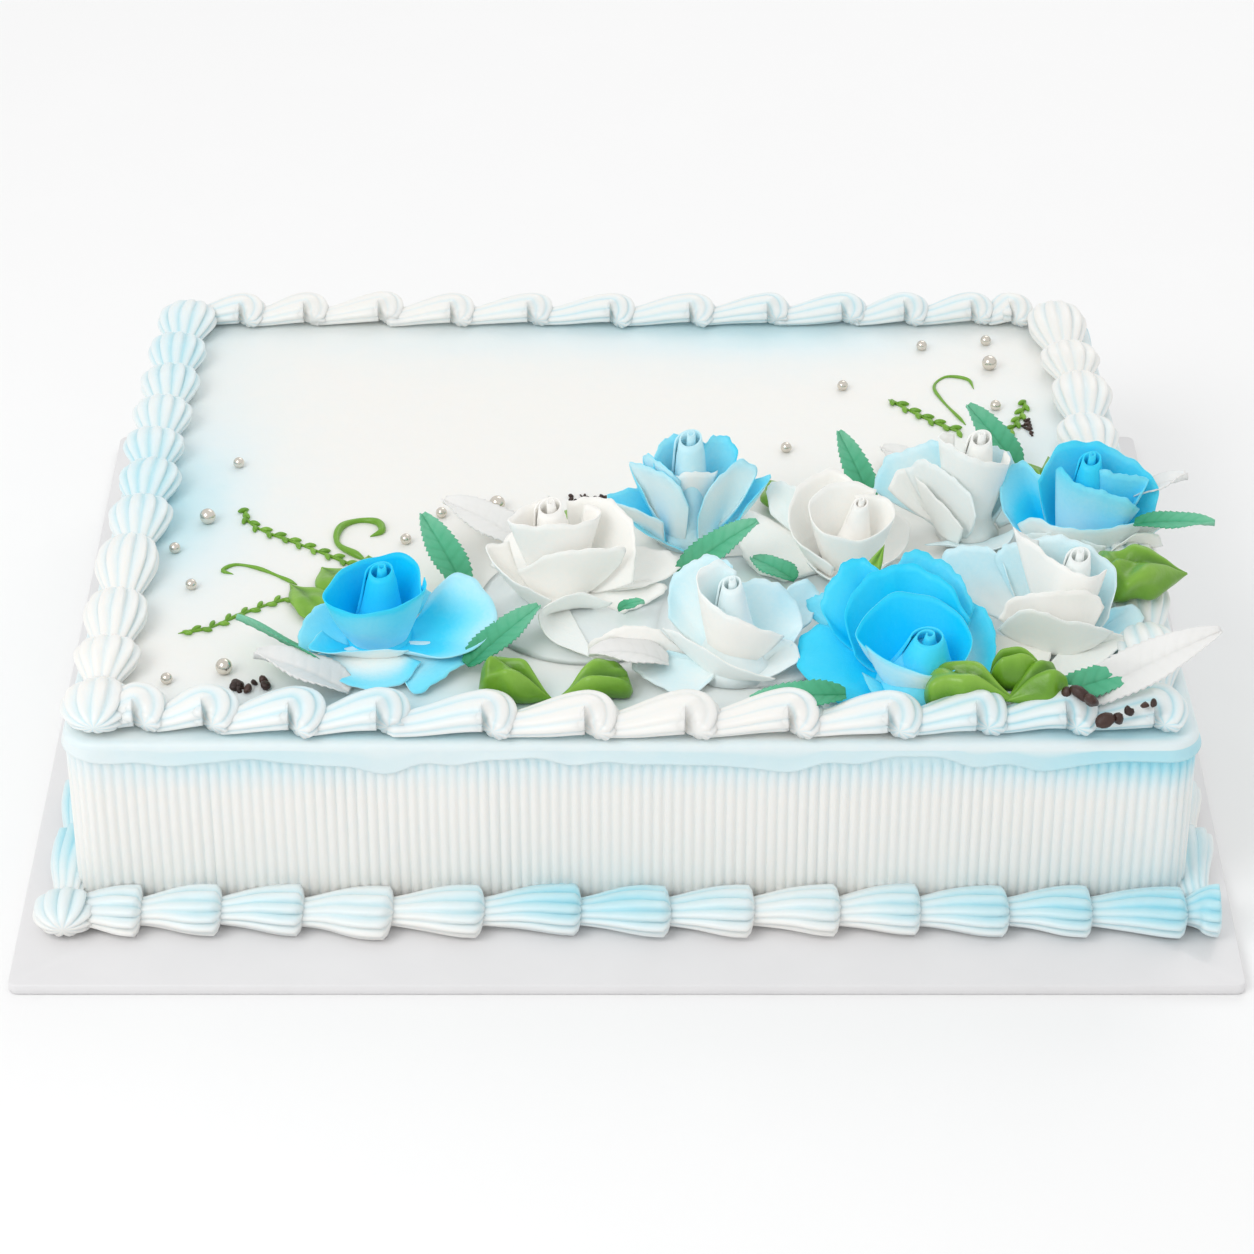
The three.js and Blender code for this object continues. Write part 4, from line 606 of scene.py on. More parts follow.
def make_materials():
    cream = [
        (0.0, (241, 240, 236)), (0.35, (226, 238, 240)), (0.7, (194, 230, 238)), (1.0, (150, 220, 236))]
    blue = [
        (0.0, (254, 252, 247)), (0.22, (224, 249, 254)), (0.5, (146, 234, 255)), (0.75, (66, 220, 255)),
        (1.0, (4, 208, 255))]
    teal = [(0.0, (16, 132, 84)), (0.5, (74, 174, 132)), (1.0, (126, 200, 166))]
    green = [(0.0, (70, 120, 22)), (0.5, (112, 164, 44)), (1.0, (150, 196, 78))]
    pale = [(0.0, (222, 222, 219)), (1.0, (238, 237, 235))]
    pearl = [(0.0, (206, 198, 186)), (1.0, (238, 232, 222))]
    crumb = [(0.0, (38, 22, 18)), (1.0, (70, 44, 36))]
    board = [(0.0, (224, 223, 224)), (1.0, (234, 233, 234))]
    floor = [(0.0, (247, 247, 247)), (1.0, (250, 250, 250))]
    surfaces = {
        "icing": Surface("icing", cream, 0.42, 0.06, 9.0, ((14.0, 0.35), (1.4, 0.04)), 0.25),
        "combed": Surface("combed_icing", cream, 0.36, 0.08, 5.0, ((3.0, 0.12), (0.7, 0.03)), 0.25),
        "shell": Surface("piped_cream", cream, 0.38, 0.06, 4.0, ((3.0, 0.12), (0.8, 0.03)), 0.25),
        "rose": Surface("rose_cream", blue, 0.42, 0.04, 1.5, ((2.2, 0.12), (0.6, 0.04)), 0.12, shine=0.28),
        "teal": Surface("teal_leaf", teal, 0.5, 0.08, 2.0, ((1.0, 0.05),), 0.15),
        "pale": Surface("white_leaf", pale, 0.5, 0.1, 2.0, ((1.0, 0.05),), 0.2),
        "piped": Surface("green_icing", green, 0.32, 0.1, 3.0, ((2.0, 0.15), (0.6, 0.04)), 0.15),
        "pearl": Surface("sugar_pearl", pearl, 0.16, 0.3, 3.0, ((0.8, 0.02),), metallic=0.85),
        "crumb": Surface("cookie_crumb", crumb, 0.4, 0.4, 1.0, ((0.6, 0.2),)),
        "board": Surface("board_paper", board, 0.3, 0.4, 30.0, ((6.0, 0.02),)),
        "floor": Surface("floor", floor, 0.6, 0.4, 60.0, ((5.0, 0.02),)),
    }
    return {name: surface.material for name, surface in surfaces.items()}


# The board

def rounded_outline(half_x, half_y, corner, steps):
    """A counter-clockwise rounded rectangle about the origin, with steps points to each corner."""
    points = []
    for quarter, (sx, sy) in enumerate([(1, 1), (-1, 1), (-1, -1), (1, -1)]):
        for k in range(steps + 1):
            angle = math.pi / 2 * (quarter + k / steps)
            points.append((sx * (half_x - corner) + corner * math.cos(angle),
                           sy * (half_y - corner) + corner * math.sin(angle)))
    return np.array(points)


def make_board(materials):
    edge = 0.5
    thick = BOARD["thick"]
    shape = Shape()
    rings = []
    bevel = edge * 0.3
    for inset, z in [(edge, 0), (0, edge), (0, thick - edge), (bevel, thick - bevel), (edge, thick)]:
        rings.append(at_height(rounded_outline(
            BOARD["width"] / 2 - inset, BOARD["depth"] / 2 - inset, BOARD["corner"] - inset * 0.5, 6), z))
    shape.tube(np.array(rings), 0.5)
    shape.piece("cake_board", materials["board"], "board_white", "board")


# The iced cake

def cake_point(x, y):
    """A point of the cake's outline in place. The outline draws in towards the back."""
    taper = np.where(x < 0, TAPER["left"], TAPER["right"])
    share = taper * (y + CAKE["depth"] / 2) / CAKE["depth"] / (CAKE["width"] / 2)
    return CAKE["x"] + x * (1 - share), CAKE["y"] + y


def cake_path(spacing):
    """Points evenly along the cake's outline, with their outward normals and the distance run."""
    outline = rounded_outline(CAKE["width"] / 2, CAKE["depth"] / 2, CAKE["corner"], 16)
    x, y = cake_point(outline[:, 0], outline[:, 1])
    loop = np.column_stack([np.append(x, x[0]), np.append(y, y[0])])
    run = np.concatenate([[0], np.cumsum(np.linalg.norm(np.diff(loop, axis=0), axis=1))])
    count = int(round(run[-1] / spacing))
    at = np.linspace(0, run[-1], count, endpoint=False)
    points = np.stack([np.interp(at, run, loop[:, k]) for k in (0, 1)], axis=1)
    ahead = np.roll(points, -1, axis=0) - np.roll(points, 1, axis=0)
    return points, unit(np.stack([ahead[:, 1], -ahead[:, 0]], axis=1)), at


def side_tint(points, z):
    """How cyan the airbrush left the side: most at the top edge, some at the foot, mottled along it."""
    place = at_height(points, 0)
    high = smooth(z, 48, 68) * (0.65 + 0.25 * wobble(3, place, 45))
    low = (1 - smooth(z, 8, 24)) * (0.06 + 0.16 * wobble(4, place, 30))
    right = smooth(points[..., 0], 120, 190) * 0.15
    return np.clip(high + low + right, 0, 1)


def make_combed_side(materials):
    """The combed side, from the board up to the band."""
    points, normals, at = cake_path(COMB["pitch"] / COMB["steps"])
    heights = np.concatenate([np.linspace(*ends, 8) for ends in ((ON_BOARD, 22), (25, 58), (60, 69))])
    place = at_height(points, 0)
    rows, tints = [], []
    for z in heights:
        sway = 0.5 * wobble(5, place + [0, 0, z * 0.25], 60) + 1.6 * smooth(z, 58, 70) ** 2
        phase = (at + sway) / COMB["pitch"]
        ridge = np.abs(np.sin(math.pi * phase)) ** 0.8
        strength = 1 + 0.25 * wobble(6, place + [0, 0, z * 0.3], 12)
        fade = 1 - smooth(z + 2.5 * wobble(7, place, 22), 63, 69)
        depth = COMB["depth"] * (1 - ridge) * strength * fade
        bulge = 0.35 * wobble(8, place + [0, 0, z], 40)
        rows.append(at_height(points - normals * (depth + 0.45 + bulge * 0.5)[:, None], z))
        # Painted shade: the grooves between the ridges are painted more cyan, so darker, on top of the
        # side's own cyan.
        tints.append(side_tint(points, z) + 0.22 * (1 - ridge) * fade - 0.08)
    shape = Shape()
    shape.tube(np.array(rows), np.clip(np.array(tints), 0, 1))
    shape.piece("combed_side", materials["combed"], "cream_icing", "cake_body")


def make_iced_top(materials):
    """The smooth top with the band of cream that laps over the comb's upper ends."""
    spacing = 1.6
    points, normals, _ = cake_path(spacing)
    centre = np.array([CAKE["x"], CAKE["y"]])
    place = at_height(points, 0)
    edge_tint, edge_radius = 0.36, 2.2
    hem = TOP - COMB["band"] + 2.2 * wobble(11, place, 26) + 1.0 * wobble(12, place, 7)
    rows, tints = [], []
    bead = 0.5 + 0.35 * wobble(13, place, 15)
    side = [(-1.6, 0.0), (-0.2, 0.15), (0.25, 0.5), (0.2, 1.2), (0.05, 3.0), (0.0, 5.0)]
    for out, up in side:
        row = points + normals * (out + bead * max(0, 1 - up / 3) * (out > -1))[:, None]
        rows.append(at_height(row, np.minimum(hem + up, TOP - 3.0 + up * 0.1)))
        tints.append(np.clip(side_tint(points, 70.0) * 0.8, 0, 1))
    for degrees in (0, 30, 60, 90):
        angle = math.radians(degrees)
        row = points - normals * (edge_radius * (1 - math.cos(angle)))
        rows.append(at_height(row, TOP - edge_radius + edge_radius * math.sin(angle)))
        tints.append(np.full(len(row), edge_tint))
    for share in (0.97, 0.94, 0.9, 0.86, 0.8, 0.7, 0.55, 0.35, 0.12):
        row = centre + (points - centre) * share
        here = at_height(row, 0)
        rows.append(at_height(row, TOP + 0.12 * wobble(14, here, 50) * (1 - share)))
        tints.append(np.clip(smooth(share, 0.62, 0.9) * (edge_tint + 0.22 * wobble(15, here, 55)), 0, 1))
    shape = Shape()
    shape.tube(np.array(rows), np.array(tints))
    shape.piece("iced_top", materials["icing"], "cream_icing", "cake_body")


# Piped shells

def section_rings(path, radius, up, ribs, depth, phase):
    """Star sections (n, around, 3) set square to a level path, with the groove of each point."""
    angle = circle(ribs * RIB_STEPS)
    groove = 1 - np.abs(np.cos(ribs * angle / 2 + phase)) ** 0.75
    scale = 1 - depth[:, None] * groove[None, :]
    ahead = np.gradient(path, axis=0)
    ahead[:, 2] = 0
    ahead = unit(ahead)
    side = np.stack([-ahead[:, 1], ahead[:, 0], np.zeros(len(path))], 1)
    wide = radius[:, None] * scale * np.cos(angle)
    tall = (radius * up)[:, None] * scale * np.sin(angle)
    rings = path[:, None, :] + side[:, None, :] * wide[..., None]
    rings[..., 2] += tall
    return rings, np.broadcast_to(groove, wide.shape)


def curl_shell(length, width, height, rng):
    """A shell whose nozzle runs along +X and curls round towards -Y at its head."""
    t = np.linspace(0, 1, 34)
    bend = 0.21 * width
    reach = 0.4 * width
    centre = np.array([length - bend - reach * 0.85, -0.1 * width])
    turn = math.radians(rng.uniform(112, 140))
    straight = smooth(t, 0, 0.5)
    angle = turn * np.clip((t - 0.45) / 0.55, 0, 1)
    start_y = -0.02 * width
    x = lerp(0.0, centre[0], np.clip(t / 0.45, 0, 1)) + bend * np.sin(angle)
    y = lerp(start_y, centre[1] + bend, straight) - bend * (1 - np.cos(angle))
    z = height * (0.22 + 0.3 * smooth(t, 0, 0.5) - 0.2 * smooth(t, 0.6, 1))
    path = np.column_stack([x, y, z])
    size = reach * (0.55 + 0.45 * smooth(t, 0, 0.5)) * (1 - 0.45 * smooth(t, 0.55, 1))
    close = np.sqrt(np.clip(1 - (2 * np.clip(t - 0.96, 0, 1) / 0.08) ** 2, 0.02, 1))
    size *= close * smooth(t, -0.06, 0.03)
    depth = 0.13 + 0.06 * smooth(t, 0.3, 0.8)
    return section_rings(path, size, 0.48 * height / reach, 8, depth, rng.uniform(0, 3))


def fan_shell(length, width, height, rng):
    """A shell that runs straight along +X to a rounded, ribbed head."""
    t = np.linspace(0, 1, 26)
    x = length * (1 - (1 - t) ** 1.25)
    y = 0.02 * width * np.sin(3 * t + rng.uniform(0, 6))
    swell = 0.3 + 0.7 * smooth(x / length, 0, 0.62)
    close = 1 - (np.clip(x / length - 0.66, 0, 1) / 0.34) ** 2
    close = np.sqrt(np.clip(close, 0.0, 1)) * 0.97 + 0.03
    size = width / 2 * swell * close
    z = height * (0.1 + 0.36 * smooth(x / length, 0, 0.6))
    path = np.column_stack([x, y, z])
    depth = 0.14 + 0.12 * smooth(t, 0.1, 0.6)
    return section_rings(path, size, 1.08 * height / width, 11, depth, rng.uniform(0, 3))


def horn_shell(length, width, height, rng):
    """A shell that widens along +X and breaks off in pointed rib tips."""
    t = np.linspace(0, 1, 24)
    x = length * (1 - (1 - t) ** 1.2)
    share = x / length
    swell = 0.5 + 0.5 * smooth(share, 0, 0.85)
    close = 1 - 0.9 * smooth(share, 0.9, 1.0) ** 2
    y = -0.06 * width * smooth(share, 0.4, 1)
    path = np.column_stack([x, y, height * (0.34 + 0.1 * smooth(share, 0, 0.7))])
    depth = 0.16 + 0.16 * smooth(share, 0.5, 1)
    size = width / 2 * swell * close
    return section_rings(path, size, 1.1 * height / width, 11, depth, rng.uniform(0, 3))


STYLES = {"curl": curl_shell, "fan": fan_shell, "horn": horn_shell}


def place_shell(shape, row, rings, groove, heading, at, rng):
    """Turns a shell to its heading, rests it on its base and adds it."""
    rings = turned(rings, (0, 0, 1), heading)
    rings = rings + 0.22 * wobble(int(rng.integers(1e6)), rings, 9)[..., None] * [1, 1, 0.6]
    rings[..., 2] = np.clip(rings[..., 2], 0, row["height"])
    rings = rings + [at[0], at[1], row["base"]]
    # Painted shade: the grooves between the ribs are painted more cyan, so darker, on top of the cream's
    # own cyan and its random mottling.
    if row["base"] == ON_CAKE:
        tint = 0.1 + 0.5 * groove + 0.25 * wobble(21, rings, 40)
    else:
        foot = 0.4 * smooth(rings[..., 2], 8, 16)
        tint = 0.1 + 0.35 * groove + foot + 0.25 * wobble(22, rings, 40)
    shape.tube(rings, np.clip(tint, 0, 1))


def make_row(row, seed, materials):
    """A row of overlapping shells, heads forward, with its corner shell. Returns their points."""
    rng = np.random.default_rng(seed)
    start, end = np.array(row["start"], float), np.array(row["end"], float)
    run = end - start
    length = np.linalg.norm(run)
    heading = math.degrees(math.atan2(run[1], run[0]))
    scale = length / sum(row["pitches"])
    shape = Shape()
    travelled = 0.0
    for pitch in row["pitches"]:
        tail = (travelled - pitch * SHELL_OVERLAP) * scale
        middle = (travelled + pitch / 2) * scale / length
        at = start + run * tail / length
        at[1] -= row["sag"] * math.sin(math.pi * middle)
        style = STYLES[row["style"]]
        rings, groove = style(pitch * scale * (1 + SHELL_OVERLAP), row["width"], row["height"], rng)
        place_shell(shape, row, rings, groove, heading + rng.uniform(-2, 2), at, rng)
        travelled += pitch
    if "corner" in row:
        x, y, size = row["corner"]
        rings, groove = fan_shell(size, row["width"], row["height"], rng)
        place_shell(shape, row, rings, groove, -90, (x, y), rng)
    shape.piece("shells_" + row["name"][7:], materials["shell"], "cream_icing", row["name"])
    return np.vstack(shape.points)


# Toppings on the icing

def make_pearls(materials):
    shape = Shape()
    ball = rounded_ball(22, 32)
    for places, size in ((SMALL_PEARLS, PEARL["small"]), (BIG_PEARLS, PEARL["big"])):
        for x, y in places:
            shape.tube(ball * size / 2 + [x, y, TOP + size / 2 - PEARL["sunk"]], 0.5)
    shape.piece("sugar_pearls", materials["pearl"], "pearl_silver", "cake_body")


def thread(shape, centres, radii, tint):
    """A round thread of icing along centres, closed at its ends."""
    ahead = unit(np.gradient(centres, axis=0))
    side = np.cross(ahead, [0, 0, 1.0])
    side /= np.linalg.norm(side, axis=1, keepdims=True) + 1e-9
    up = np.cross(side, ahead)
    angle = circle(12)[None, :, None]
    ring = side[:, None] * np.cos(angle) + up[:, None] * np.sin(angle)
    shape.tube((centres[:, None] + ring * np.asarray(radii)[:, None, None])[:, ::-1], tint)


def make_vines(materials):
    shape = Shape()
    rng = np.random.default_rng(SEEDS["vines"])
    spacing, leaf_every = 0.8, 3.1
    for vine in VINES:
        points = np.array([(x, y, TOP + 0.6) for x, y in vine["points"]], float)
        length = np.linalg.norm(np.diff(points, axis=0), axis=1).sum()
        count = int(length / spacing)
        centres = curve_points(points, count)
        t = np.linspace(0, 1, count)
        ends = np.sqrt(np.clip(np.minimum(t, 1 - t) * 12, 0.05, 1))
        size = vine.get("plain", 0.7)
        radii = size * (0.8 + 0.15 * np.sin(t * 17)) * ends
        centres[:, 2] = TOP + radii * 0.6
        thread(shape, centres, radii, 0.5)
        bud = vine.get("leafy", 0)
        ahead = np.gradient(centres, axis=0)
        steps = int(length / leaf_every) if bud else 0
        for k in range(steps):
            at = int((k + 0.5) / steps * (count - 1))
            way = ahead[at] / np.linalg.norm(ahead[at])
            hand = 1 if k % 2 else -1
            out = turned(way, (0, 0, 1), hand * rng.uniform(28, 42))
            s = np.linspace(0, 1, 9)[:, None]
            spine = centres[at] + out * s * bud * 2.6 + [0, 0, 0.35]
            fat = bud * 0.62 * np.sin(math.pi * np.clip(s[:, 0] * 0.86 + 0.1, 0, 1)) ** 0.7
            thread(shape, spine, fat, 0.5 + 0.15 * rng.uniform(-1, 1))
    shape.piece("piped_vines", materials["piped"], "leaf_green", "cake_body")


def crumb(size, rng):
    """A rough lump about the origin, a little flattened."""
    ball = rounded_ball(9, 12)
    lump = ball * (1 + 0.32 * wobble(int(rng.integers(1e6)), ball, 0.9)[..., None])
    return turned(lump * [1, 0.75, 0.6], rng.normal(size=3), rng.uniform(0, 360)) * size


def make_crumbs(materials, shells):
    """Crumbs on the icing, and those that lie on the shells of the front row, given as their points."""
    shape = Shape()
    rng = np.random.default_rng(SEEDS["crumbs"])
    for cluster in CRUMBS:
        for _ in range(cluster["count"]):
            angle, out = rng.uniform(0, 6.28), rng.uniform(0, 1) ** 0.6
            x = cluster["at"][0] + cluster["spread"][0] * out * math.cos(angle)
            y = cluster["at"][1] + cluster["spread"][1] * out * math.sin(angle)
            size = cluster["size"] * rng.uniform(0.35, 1.0)
            shape.tube(crumb(size, rng) + [x, y, TOP + size * 0.4], rng.uniform(0, 1))
    shape.piece("cookie_crumbs", materials["crumb"], "crumb_brown", "cake_body")
    shape = Shape()
    for x, y, size in BORDER_CRUMBS:
        near = np.hypot(shells[:, 0] - x, shells[:, 1] - y) < CRUMB_REACH
        shape.tube(crumb(size, rng) + [x, y, shells[near, 2].max() + size * 0.25], rng.uniform(0, 1))
    shape.piece("border_crumbs", materials["crumb"], "crumb_brown", "border_top_front")


def make_mound(materials):
    """The cream that the roses stand in, as low knobbly domes."""
    shape = Shape()
    around = circle(48)
    flat = np.stack([np.cos(around), np.sin(around)], -1)
    for k, (x, y, radius, height) in enumerate(MOUNDS):
        rings = np.array([
            at_height(flat * radius * out + [x, y], height * (1 - out**2) ** 0.6)
            for out in np.linspace(0.03, 1, 14)[::-1]])
        rings[..., 2] *= 1 + 0.2 * wobble(SEEDS["mounds"] + k, rings, 14)
        rings[..., 2] += ON_CAKE
        shape.tube(rings, 0.2)
    shape.piece("cream_bed", materials["shell"], "cream_icing", "cream_mound")


# Roses

def petal_grid(petal, foot, across, seed):
    """A petal's middle surface (across, PETAL_STEPS, 3), anticlockwise by its rim, and its share up it."""
    centre = np.array(foot, float)
    rim = curve_points(petal["rim"], across)
    away = rim[:, :2] - centre
    angle = np.unwrap(np.arctan2(away[:, 1], away[:, 0]))
    if angle[-1] < angle[0]:
        rim, away, angle = rim[::-1], away[::-1], angle[::-1]
    reach = np.linalg.norm(away, axis=1)
    rise = rim[:, 2].mean()
    outer = smooth(reach.mean(), 16, 28)
    foot_reach = lerp(0.55 * reach.mean(), 10.0, outer)
    foot_rise = lerp(0.15 * rise, 2.6, outer)
    low = angle.mean() + (angle - angle.mean()) * 0.85
    base = at_height(centre + foot_reach * np.column_stack([np.cos(low), np.sin(low)]), foot_rise)
    u = np.linspace(0, 1, across)[:, None]
    v = np.linspace(0, 1, PETAL_STEPS)[None, :]
    phase = np.random.default_rng(seed).uniform(0, 6.28, 4)
    out = v * (1 + 0.01 * np.sin(31 * u + phase[0]) * v + 0.008 * np.sin(57 * u + phase[1]) * v)
    cup = petal["cup"]
    bend = base + (rim - base) * np.array([0.5 + 0.4 * cup, 0.5 + 0.4 * cup, 0.5 - 0.4 * cup])
    share = out[..., None]
    middle = (1 - share) ** 2 * base[:, None] + 2 * share * (1 - share) * bend[:, None]
    middle += share**2 * rim[:, None]
    middle[..., 2] += 0.45 * out**3 * np.sin(9 * u + phase[2]) + 0.2 * out**3 * np.sin(23 * u + phase[3])
    return middle, out


def bud_sheet(bud, across):
    """A bud's rolled sheet: its outer turn is the lowest, and its inner turn closes to a small hole."""
    turns, start = 2.1, -3.9
    u = np.linspace(0, 1, across)[:, None]
    v = np.linspace(0, 1, PETAL_STEPS)[None, :]
    angle = 2 * math.pi * turns * u + start
    turn = smooth(u, 0, 0.75)
    rim = bud["tip"] * (0.08 + 0.78 * turn + 0.1 * smooth(u, 0.7, 1))
    foot = bud["wide"] * (0.5 + 0.6 * turn)
    lip = 0.16 * smooth(v, 0.86, 1.0) * (1 - 0.8 * smooth(u, 0.8, 1))
    r = (rim + (foot - rim) * (1 - v) ** 1.3) * (1 - lip)
    z = bud["height"] * v * (1 - 0.09 * u + 0.05 * u * np.sin(angle + 0.6))
    x, y = bud["lean"]
    return np.stack([r * np.cos(angle) + x * v, r * np.sin(angle) + y * v, z], -1)


def make_rose(rose, seed, materials):
    shape = Shape()
    place = np.array([rose["at"][0], rose["at"][1], TOP], float)
    foot = np.array([rose["foot"][0], rose["foot"][1], 0.0])
    bud = rose["bud"]
    v = np.linspace(0, 1, PETAL_STEPS)[None, :]

    def stand(points):
        points = points + place
        points[..., 2] = np.maximum(points[..., 2], ON_CAKE + 0.4)
        return points

    tint = bud["tint"] * (0.75 + 0.25 * v)
    bud_steps, core_steps = 72, 28
    shape.sheet(stand(bud_sheet(bud, bud_steps) + foot), 1.6 - 1.0 * v, tint, tint)
    angle = circle(core_steps)
    ring = np.column_stack([np.cos(angle), np.sin(angle), np.zeros(len(angle))])
    way = np.array([*bud["lean"], bud["height"]])
    core = []
    for size, share in [(1.5, 0.0), (1.25, 0.1), (0.95, 0.35), (0.72, 0.6), (0.45, 0.8)]:
        core.append(ring * bud["wide"] * size * (1 - 0.4 * share) + (foot + way * share))
    shape.tube(stand(np.array(core)), bud["tint"] * 0.8)

    for k, petal in enumerate(rose["petals"]):
        knots = np.array(petal["rim"], float)
        length = np.linalg.norm(np.diff(knots, axis=0), axis=1).sum()
        across = int(np.clip(length * 0.9, 18, 90))
        middle, out = petal_grid(petal, rose["foot"], across, seed * 100 + k)
        middle = stand(middle)
        if petal["grain"]:
            middle += 0.35 * petal["grain"] * wobble(seed + k, middle, 2.2)[..., None] * out[..., None]
        thickness = lerp(2.4, 0.4, v**0.6) * np.ones((across, 1))
        patch = 0.06 * wobble(seed + k, middle, 9) * (petal["tint"][1] > 0.1)
        deep, rim, back = petal["tint"]
        over = lerp(deep, rim, smooth(out, 0.3, 0.95)) + patch
        under = back * (0.55 + 0.45 * out) + 0.25 * rim * smooth(out, 0.88, 1.0) + patch
        shape.sheet(middle, thickness, np.clip(under, 0, 1), np.clip(over, 0, 1))
    shape.piece("petals_" + rose["name"][5:], materials["rose"], rose["slot"], rose["name"])


# Leaves

def leaf_axes(leaf):
    """A leaf's base, its run to the tip and that run's length, and the directions across and up."""
    start = np.array(leaf["base"], float) + [0, 0, TOP]
    run = np.array(leaf["tip"], float) + [0, 0, TOP] - start
    length = np.linalg.norm(run)
    heading = run / length
    side = np.array([-heading[1], heading[0], 0])
    side = turned(side / np.linalg.norm(side), heading, leaf.get("roll", 0))
    return start, run, length, side, np.cross(heading, side)


def make_leaf(leaf, seed, materials):
    """A flat leaf with a saw edge, a groove down its middle and fine veins, with shade painted into the
    groove and the veins.
    """
    kind_name = leaf["name"].split("_")[1]
    kind = LEAF_KINDS[kind_name]
    start, run, length, side, up = leaf_axes(leaf)
    width = leaf["width"]
    across, along = LEAF_STEPS
    u = np.linspace(-1, 1, across)[:, None]
    v = np.linspace(0, 1, along)[None, :]
    profile = np.sin(math.pi * (0.08 + 0.9 * v**0.85)) ** 0.7
    saw = (v * length / kind["tooth"] + np.random.default_rng(seed).uniform(0, 1)) % 1.0
    tooth = 1 - kind["bite"] * saw * smooth(np.abs(u), 0.5, 1)
    spread = width / 2 * profile * tooth * u
    wave = kind["ruffle"] * np.sin(9 * v) * u**2
    height = leaf["bend"] * 4 * v * (1 - v) + wave + 0.1 * width * np.abs(u)
    vein = np.exp(-(((v * length / 4.5 - np.abs(u) * 0.9) % 1.0 - 0.5) / 0.16) ** 2)
    rib = np.exp(-(u / 0.07) ** 2)
    height = height - 0.22 * vein * (1 - np.abs(u)) - 0.35 * rib
    thickness = kind["thick"] * lerp(1.0, 0.5, np.abs(u)) * np.ones_like(v)
    # Lighter towards the tip and the edges; the middle groove and the veins are painted darker as shade in
    # these creases.
    tint = np.clip(0.15 + 0.85 * v + 0.1 * np.abs(u) - 0.2 * rib - 0.1 * vein, 0, 1)
    middle = start + run * v[..., None] * np.ones((across, 1, 1))
    middle = middle + side * spread[..., None] + up * height[..., None]
    shape = Shape()
    shape.sheet(middle, thickness, tint, tint * 0.8)
    shape.piece("blade_" + leaf["name"][5:], materials[kind_name], kind["slot"], leaf["name"])


def make_piped(leaf, seed, materials):
    """A piped leaf, standing on the line from its base to its tip, crumpled as the icing buckled, with
    light and shade painted into its colour.
    """
    start, run, _, side, up = leaf_axes(leaf)
    wide, high = leaf["wide"], leaf["high"]
    along, around = PIPED_STEPS
    v = np.linspace(0, 1, along)[:, None]
    angle = circle(around)[None, :]
    size = smooth(v, -0.05, 0.22) ** 0.5 * (1 - smooth(v, 0.4, 1.04)) ** 0.75
    size = np.clip(size * np.sqrt(np.clip(v * 14, 0.02, 1)), 0.02, 1)
    x = np.cos(angle)
    z = 0.44 + 0.56 * np.sin(angle)
    fold = np.exp(-((x - 0.12 * np.sin(5 * v)) / 0.2) ** 2) * smooth(np.sin(angle), 0, 0.6)
    flute = np.sin(5.5 * np.abs(x) + 7 * v + seed) * smooth(np.sin(angle), -0.2, 0.5)
    across = wide / 2 * size * x * (1 + 0.06 * np.sin(11 * v + seed))
    rise = high * size * (z - 0.24 * fold + 0.09 * flute)
    rings = start + run * v[..., None] + side * across[..., None] + up * rise[..., None]
    lump = 0.09 * min(wide, 3 * high)
    push = lump * wobble(seed, rings, 8) + 0.3 * lump * wobble(seed + 1, rings, 3.4)
    outward = side * x[..., None] + up * np.sin(angle)[..., None]
    rings = rings + push[..., None] * size[..., None] * outward
    rings[..., 2] = np.maximum(rings[..., 2], ON_CAKE)
    # Painted light and shade: each section is painted lighter on top and darker below, the fold is painted
    # darker as shade, and the flutes lighter on their crests and darker in their troughs; the noise is
    # random tone.
    tint = 0.42 + 0.22 * np.sin(angle) - 0.4 * fold + 0.14 * flute + 0.12 * wobble(seed + 2, rings, 9)
    shape = Shape()
    shape.tube(rings, np.clip(tint, 0, 1))
    shape.piece("blade_" + leaf["name"][5:], materials["piped"], "leaf_green", leaf["name"])


# Floor, light and camera

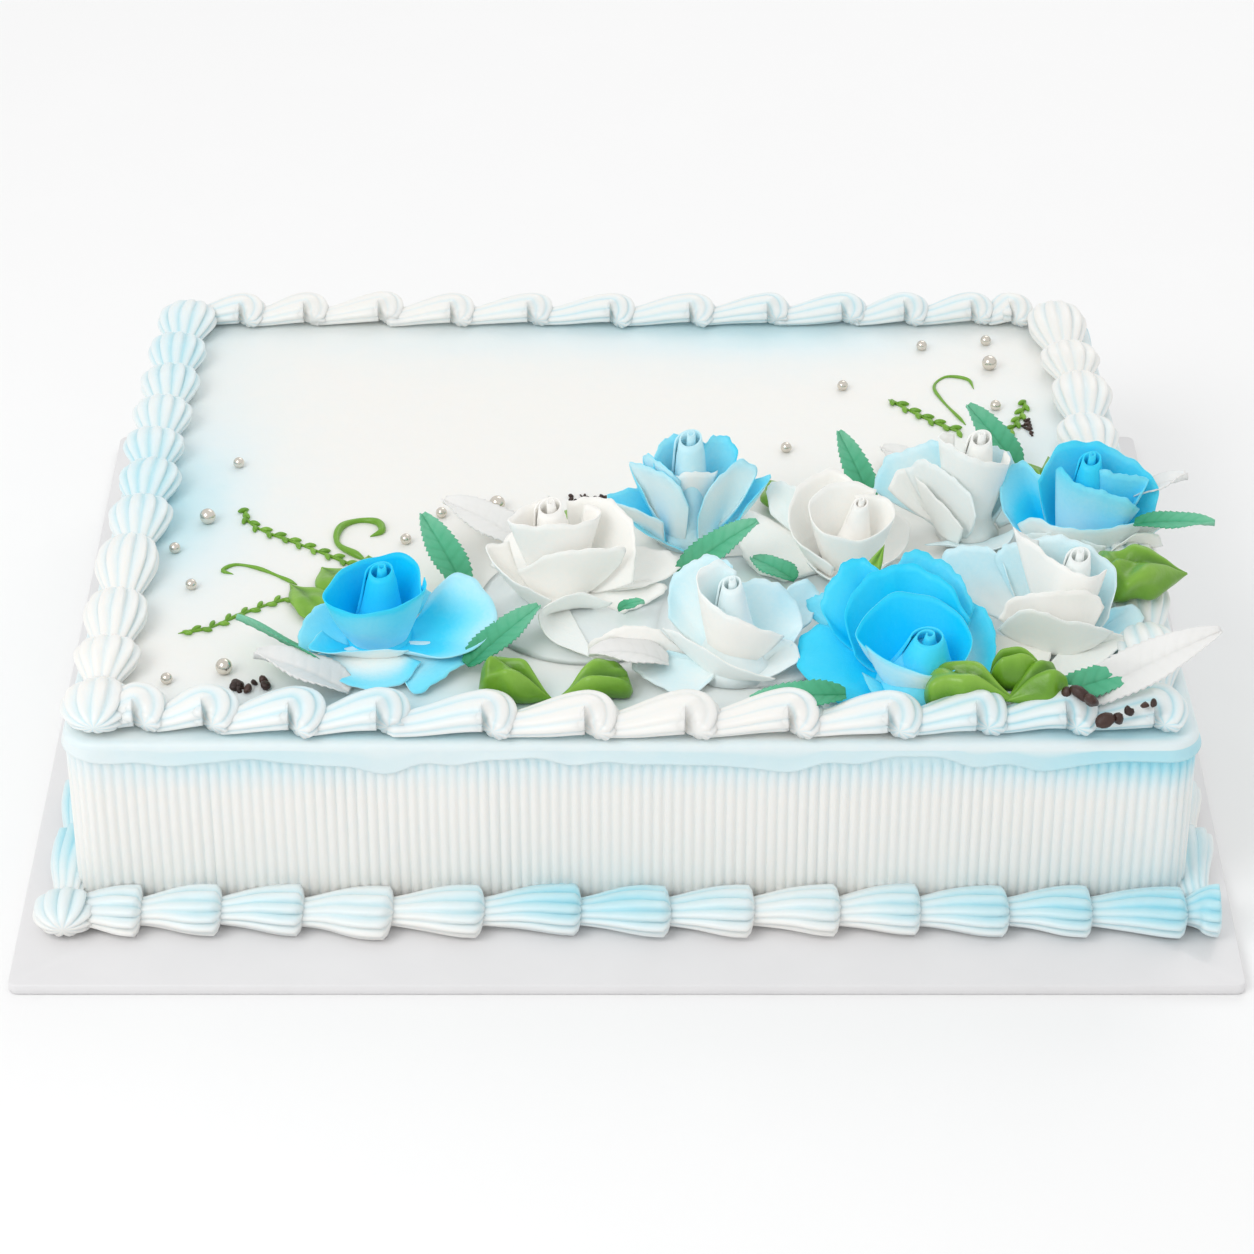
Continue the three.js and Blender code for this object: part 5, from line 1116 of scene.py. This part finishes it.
def make_floor(materials):
    mesh = bpy.data.meshes.new("floor")
    half = FLOOR_HALF
    corners = [(-half, -half, 0), (half, -half, 0), (half, half, 0), (-half, half, 0)]
    mesh.from_pydata(corners, [], [(0, 1, 2, 3)])
    mesh.materials.append(materials["floor"])
    floor = bpy.data.objects.new("floor", mesh)
    bpy.context.scene.collection.objects.link(floor)


def area_light(name, place, size, power):
    data = bpy.data.lights.new(name, "AREA")
    data.shape = "SQUARE"
    data.size = size
    data.energy = power
    lamp = bpy.data.objects.new(name, data)
    lamp.location = place
    way = np.array(AIM, float) - np.array(place, float)
    flat = math.hypot(way[0], way[1])
    lamp.rotation_euler = (math.atan2(flat, -way[2]), 0, math.atan2(-way[0], way[1]))
    bpy.context.scene.collection.objects.link(lamp)


def make_light():
    world = bpy.data.worlds.new("studio")
    world.use_nodes = True
    background = world.node_tree.nodes["Background"].inputs
    background["Color"].default_value = (1, 1, 1, 1)
    background["Strength"].default_value = ROOM_LIGHT
    bpy.context.scene.world = world
    for light in LIGHTS:
        area_light(**light)


def make_camera():
    data = bpy.data.cameras.new("camera")
    data.sensor_width = 36.0
    data.lens = 36.0 * CAMERA["focal_px"] / CAMERA["frame_px"]
    data.clip_end = 20.0
    camera = bpy.data.objects.new("camera", data)
    camera.location = CAMERA["place"]
    camera.rotation_euler = (math.radians(90 - CAMERA["down"]), 0, 0)
    bpy.context.scene.collection.objects.link(camera)
    bpy.context.scene.camera = camera
    bpy.context.scene.view_settings.view_transform = "Standard"


def main():
    materials = make_materials()
    make_camera()
    make_floor(materials)
    make_light()
    make_board(materials)
    make_combed_side(materials)
    make_iced_top(materials)
    shells = [make_row(row, SEEDS["rows"] + k, materials) for k, row in enumerate(ROWS)]
    make_pearls(materials)
    make_vines(materials)
    make_crumbs(materials, shells[0])
    make_mound(materials)
    for make, table, seed in (
            (make_rose, ROSES, SEEDS["roses"]), (make_leaf, LEAVES, SEEDS["leaves"]),
            (make_piped, PIPED, SEEDS["piped"])):
        for k, item in enumerate(table):
            make(item, seed + k, materials)


main()
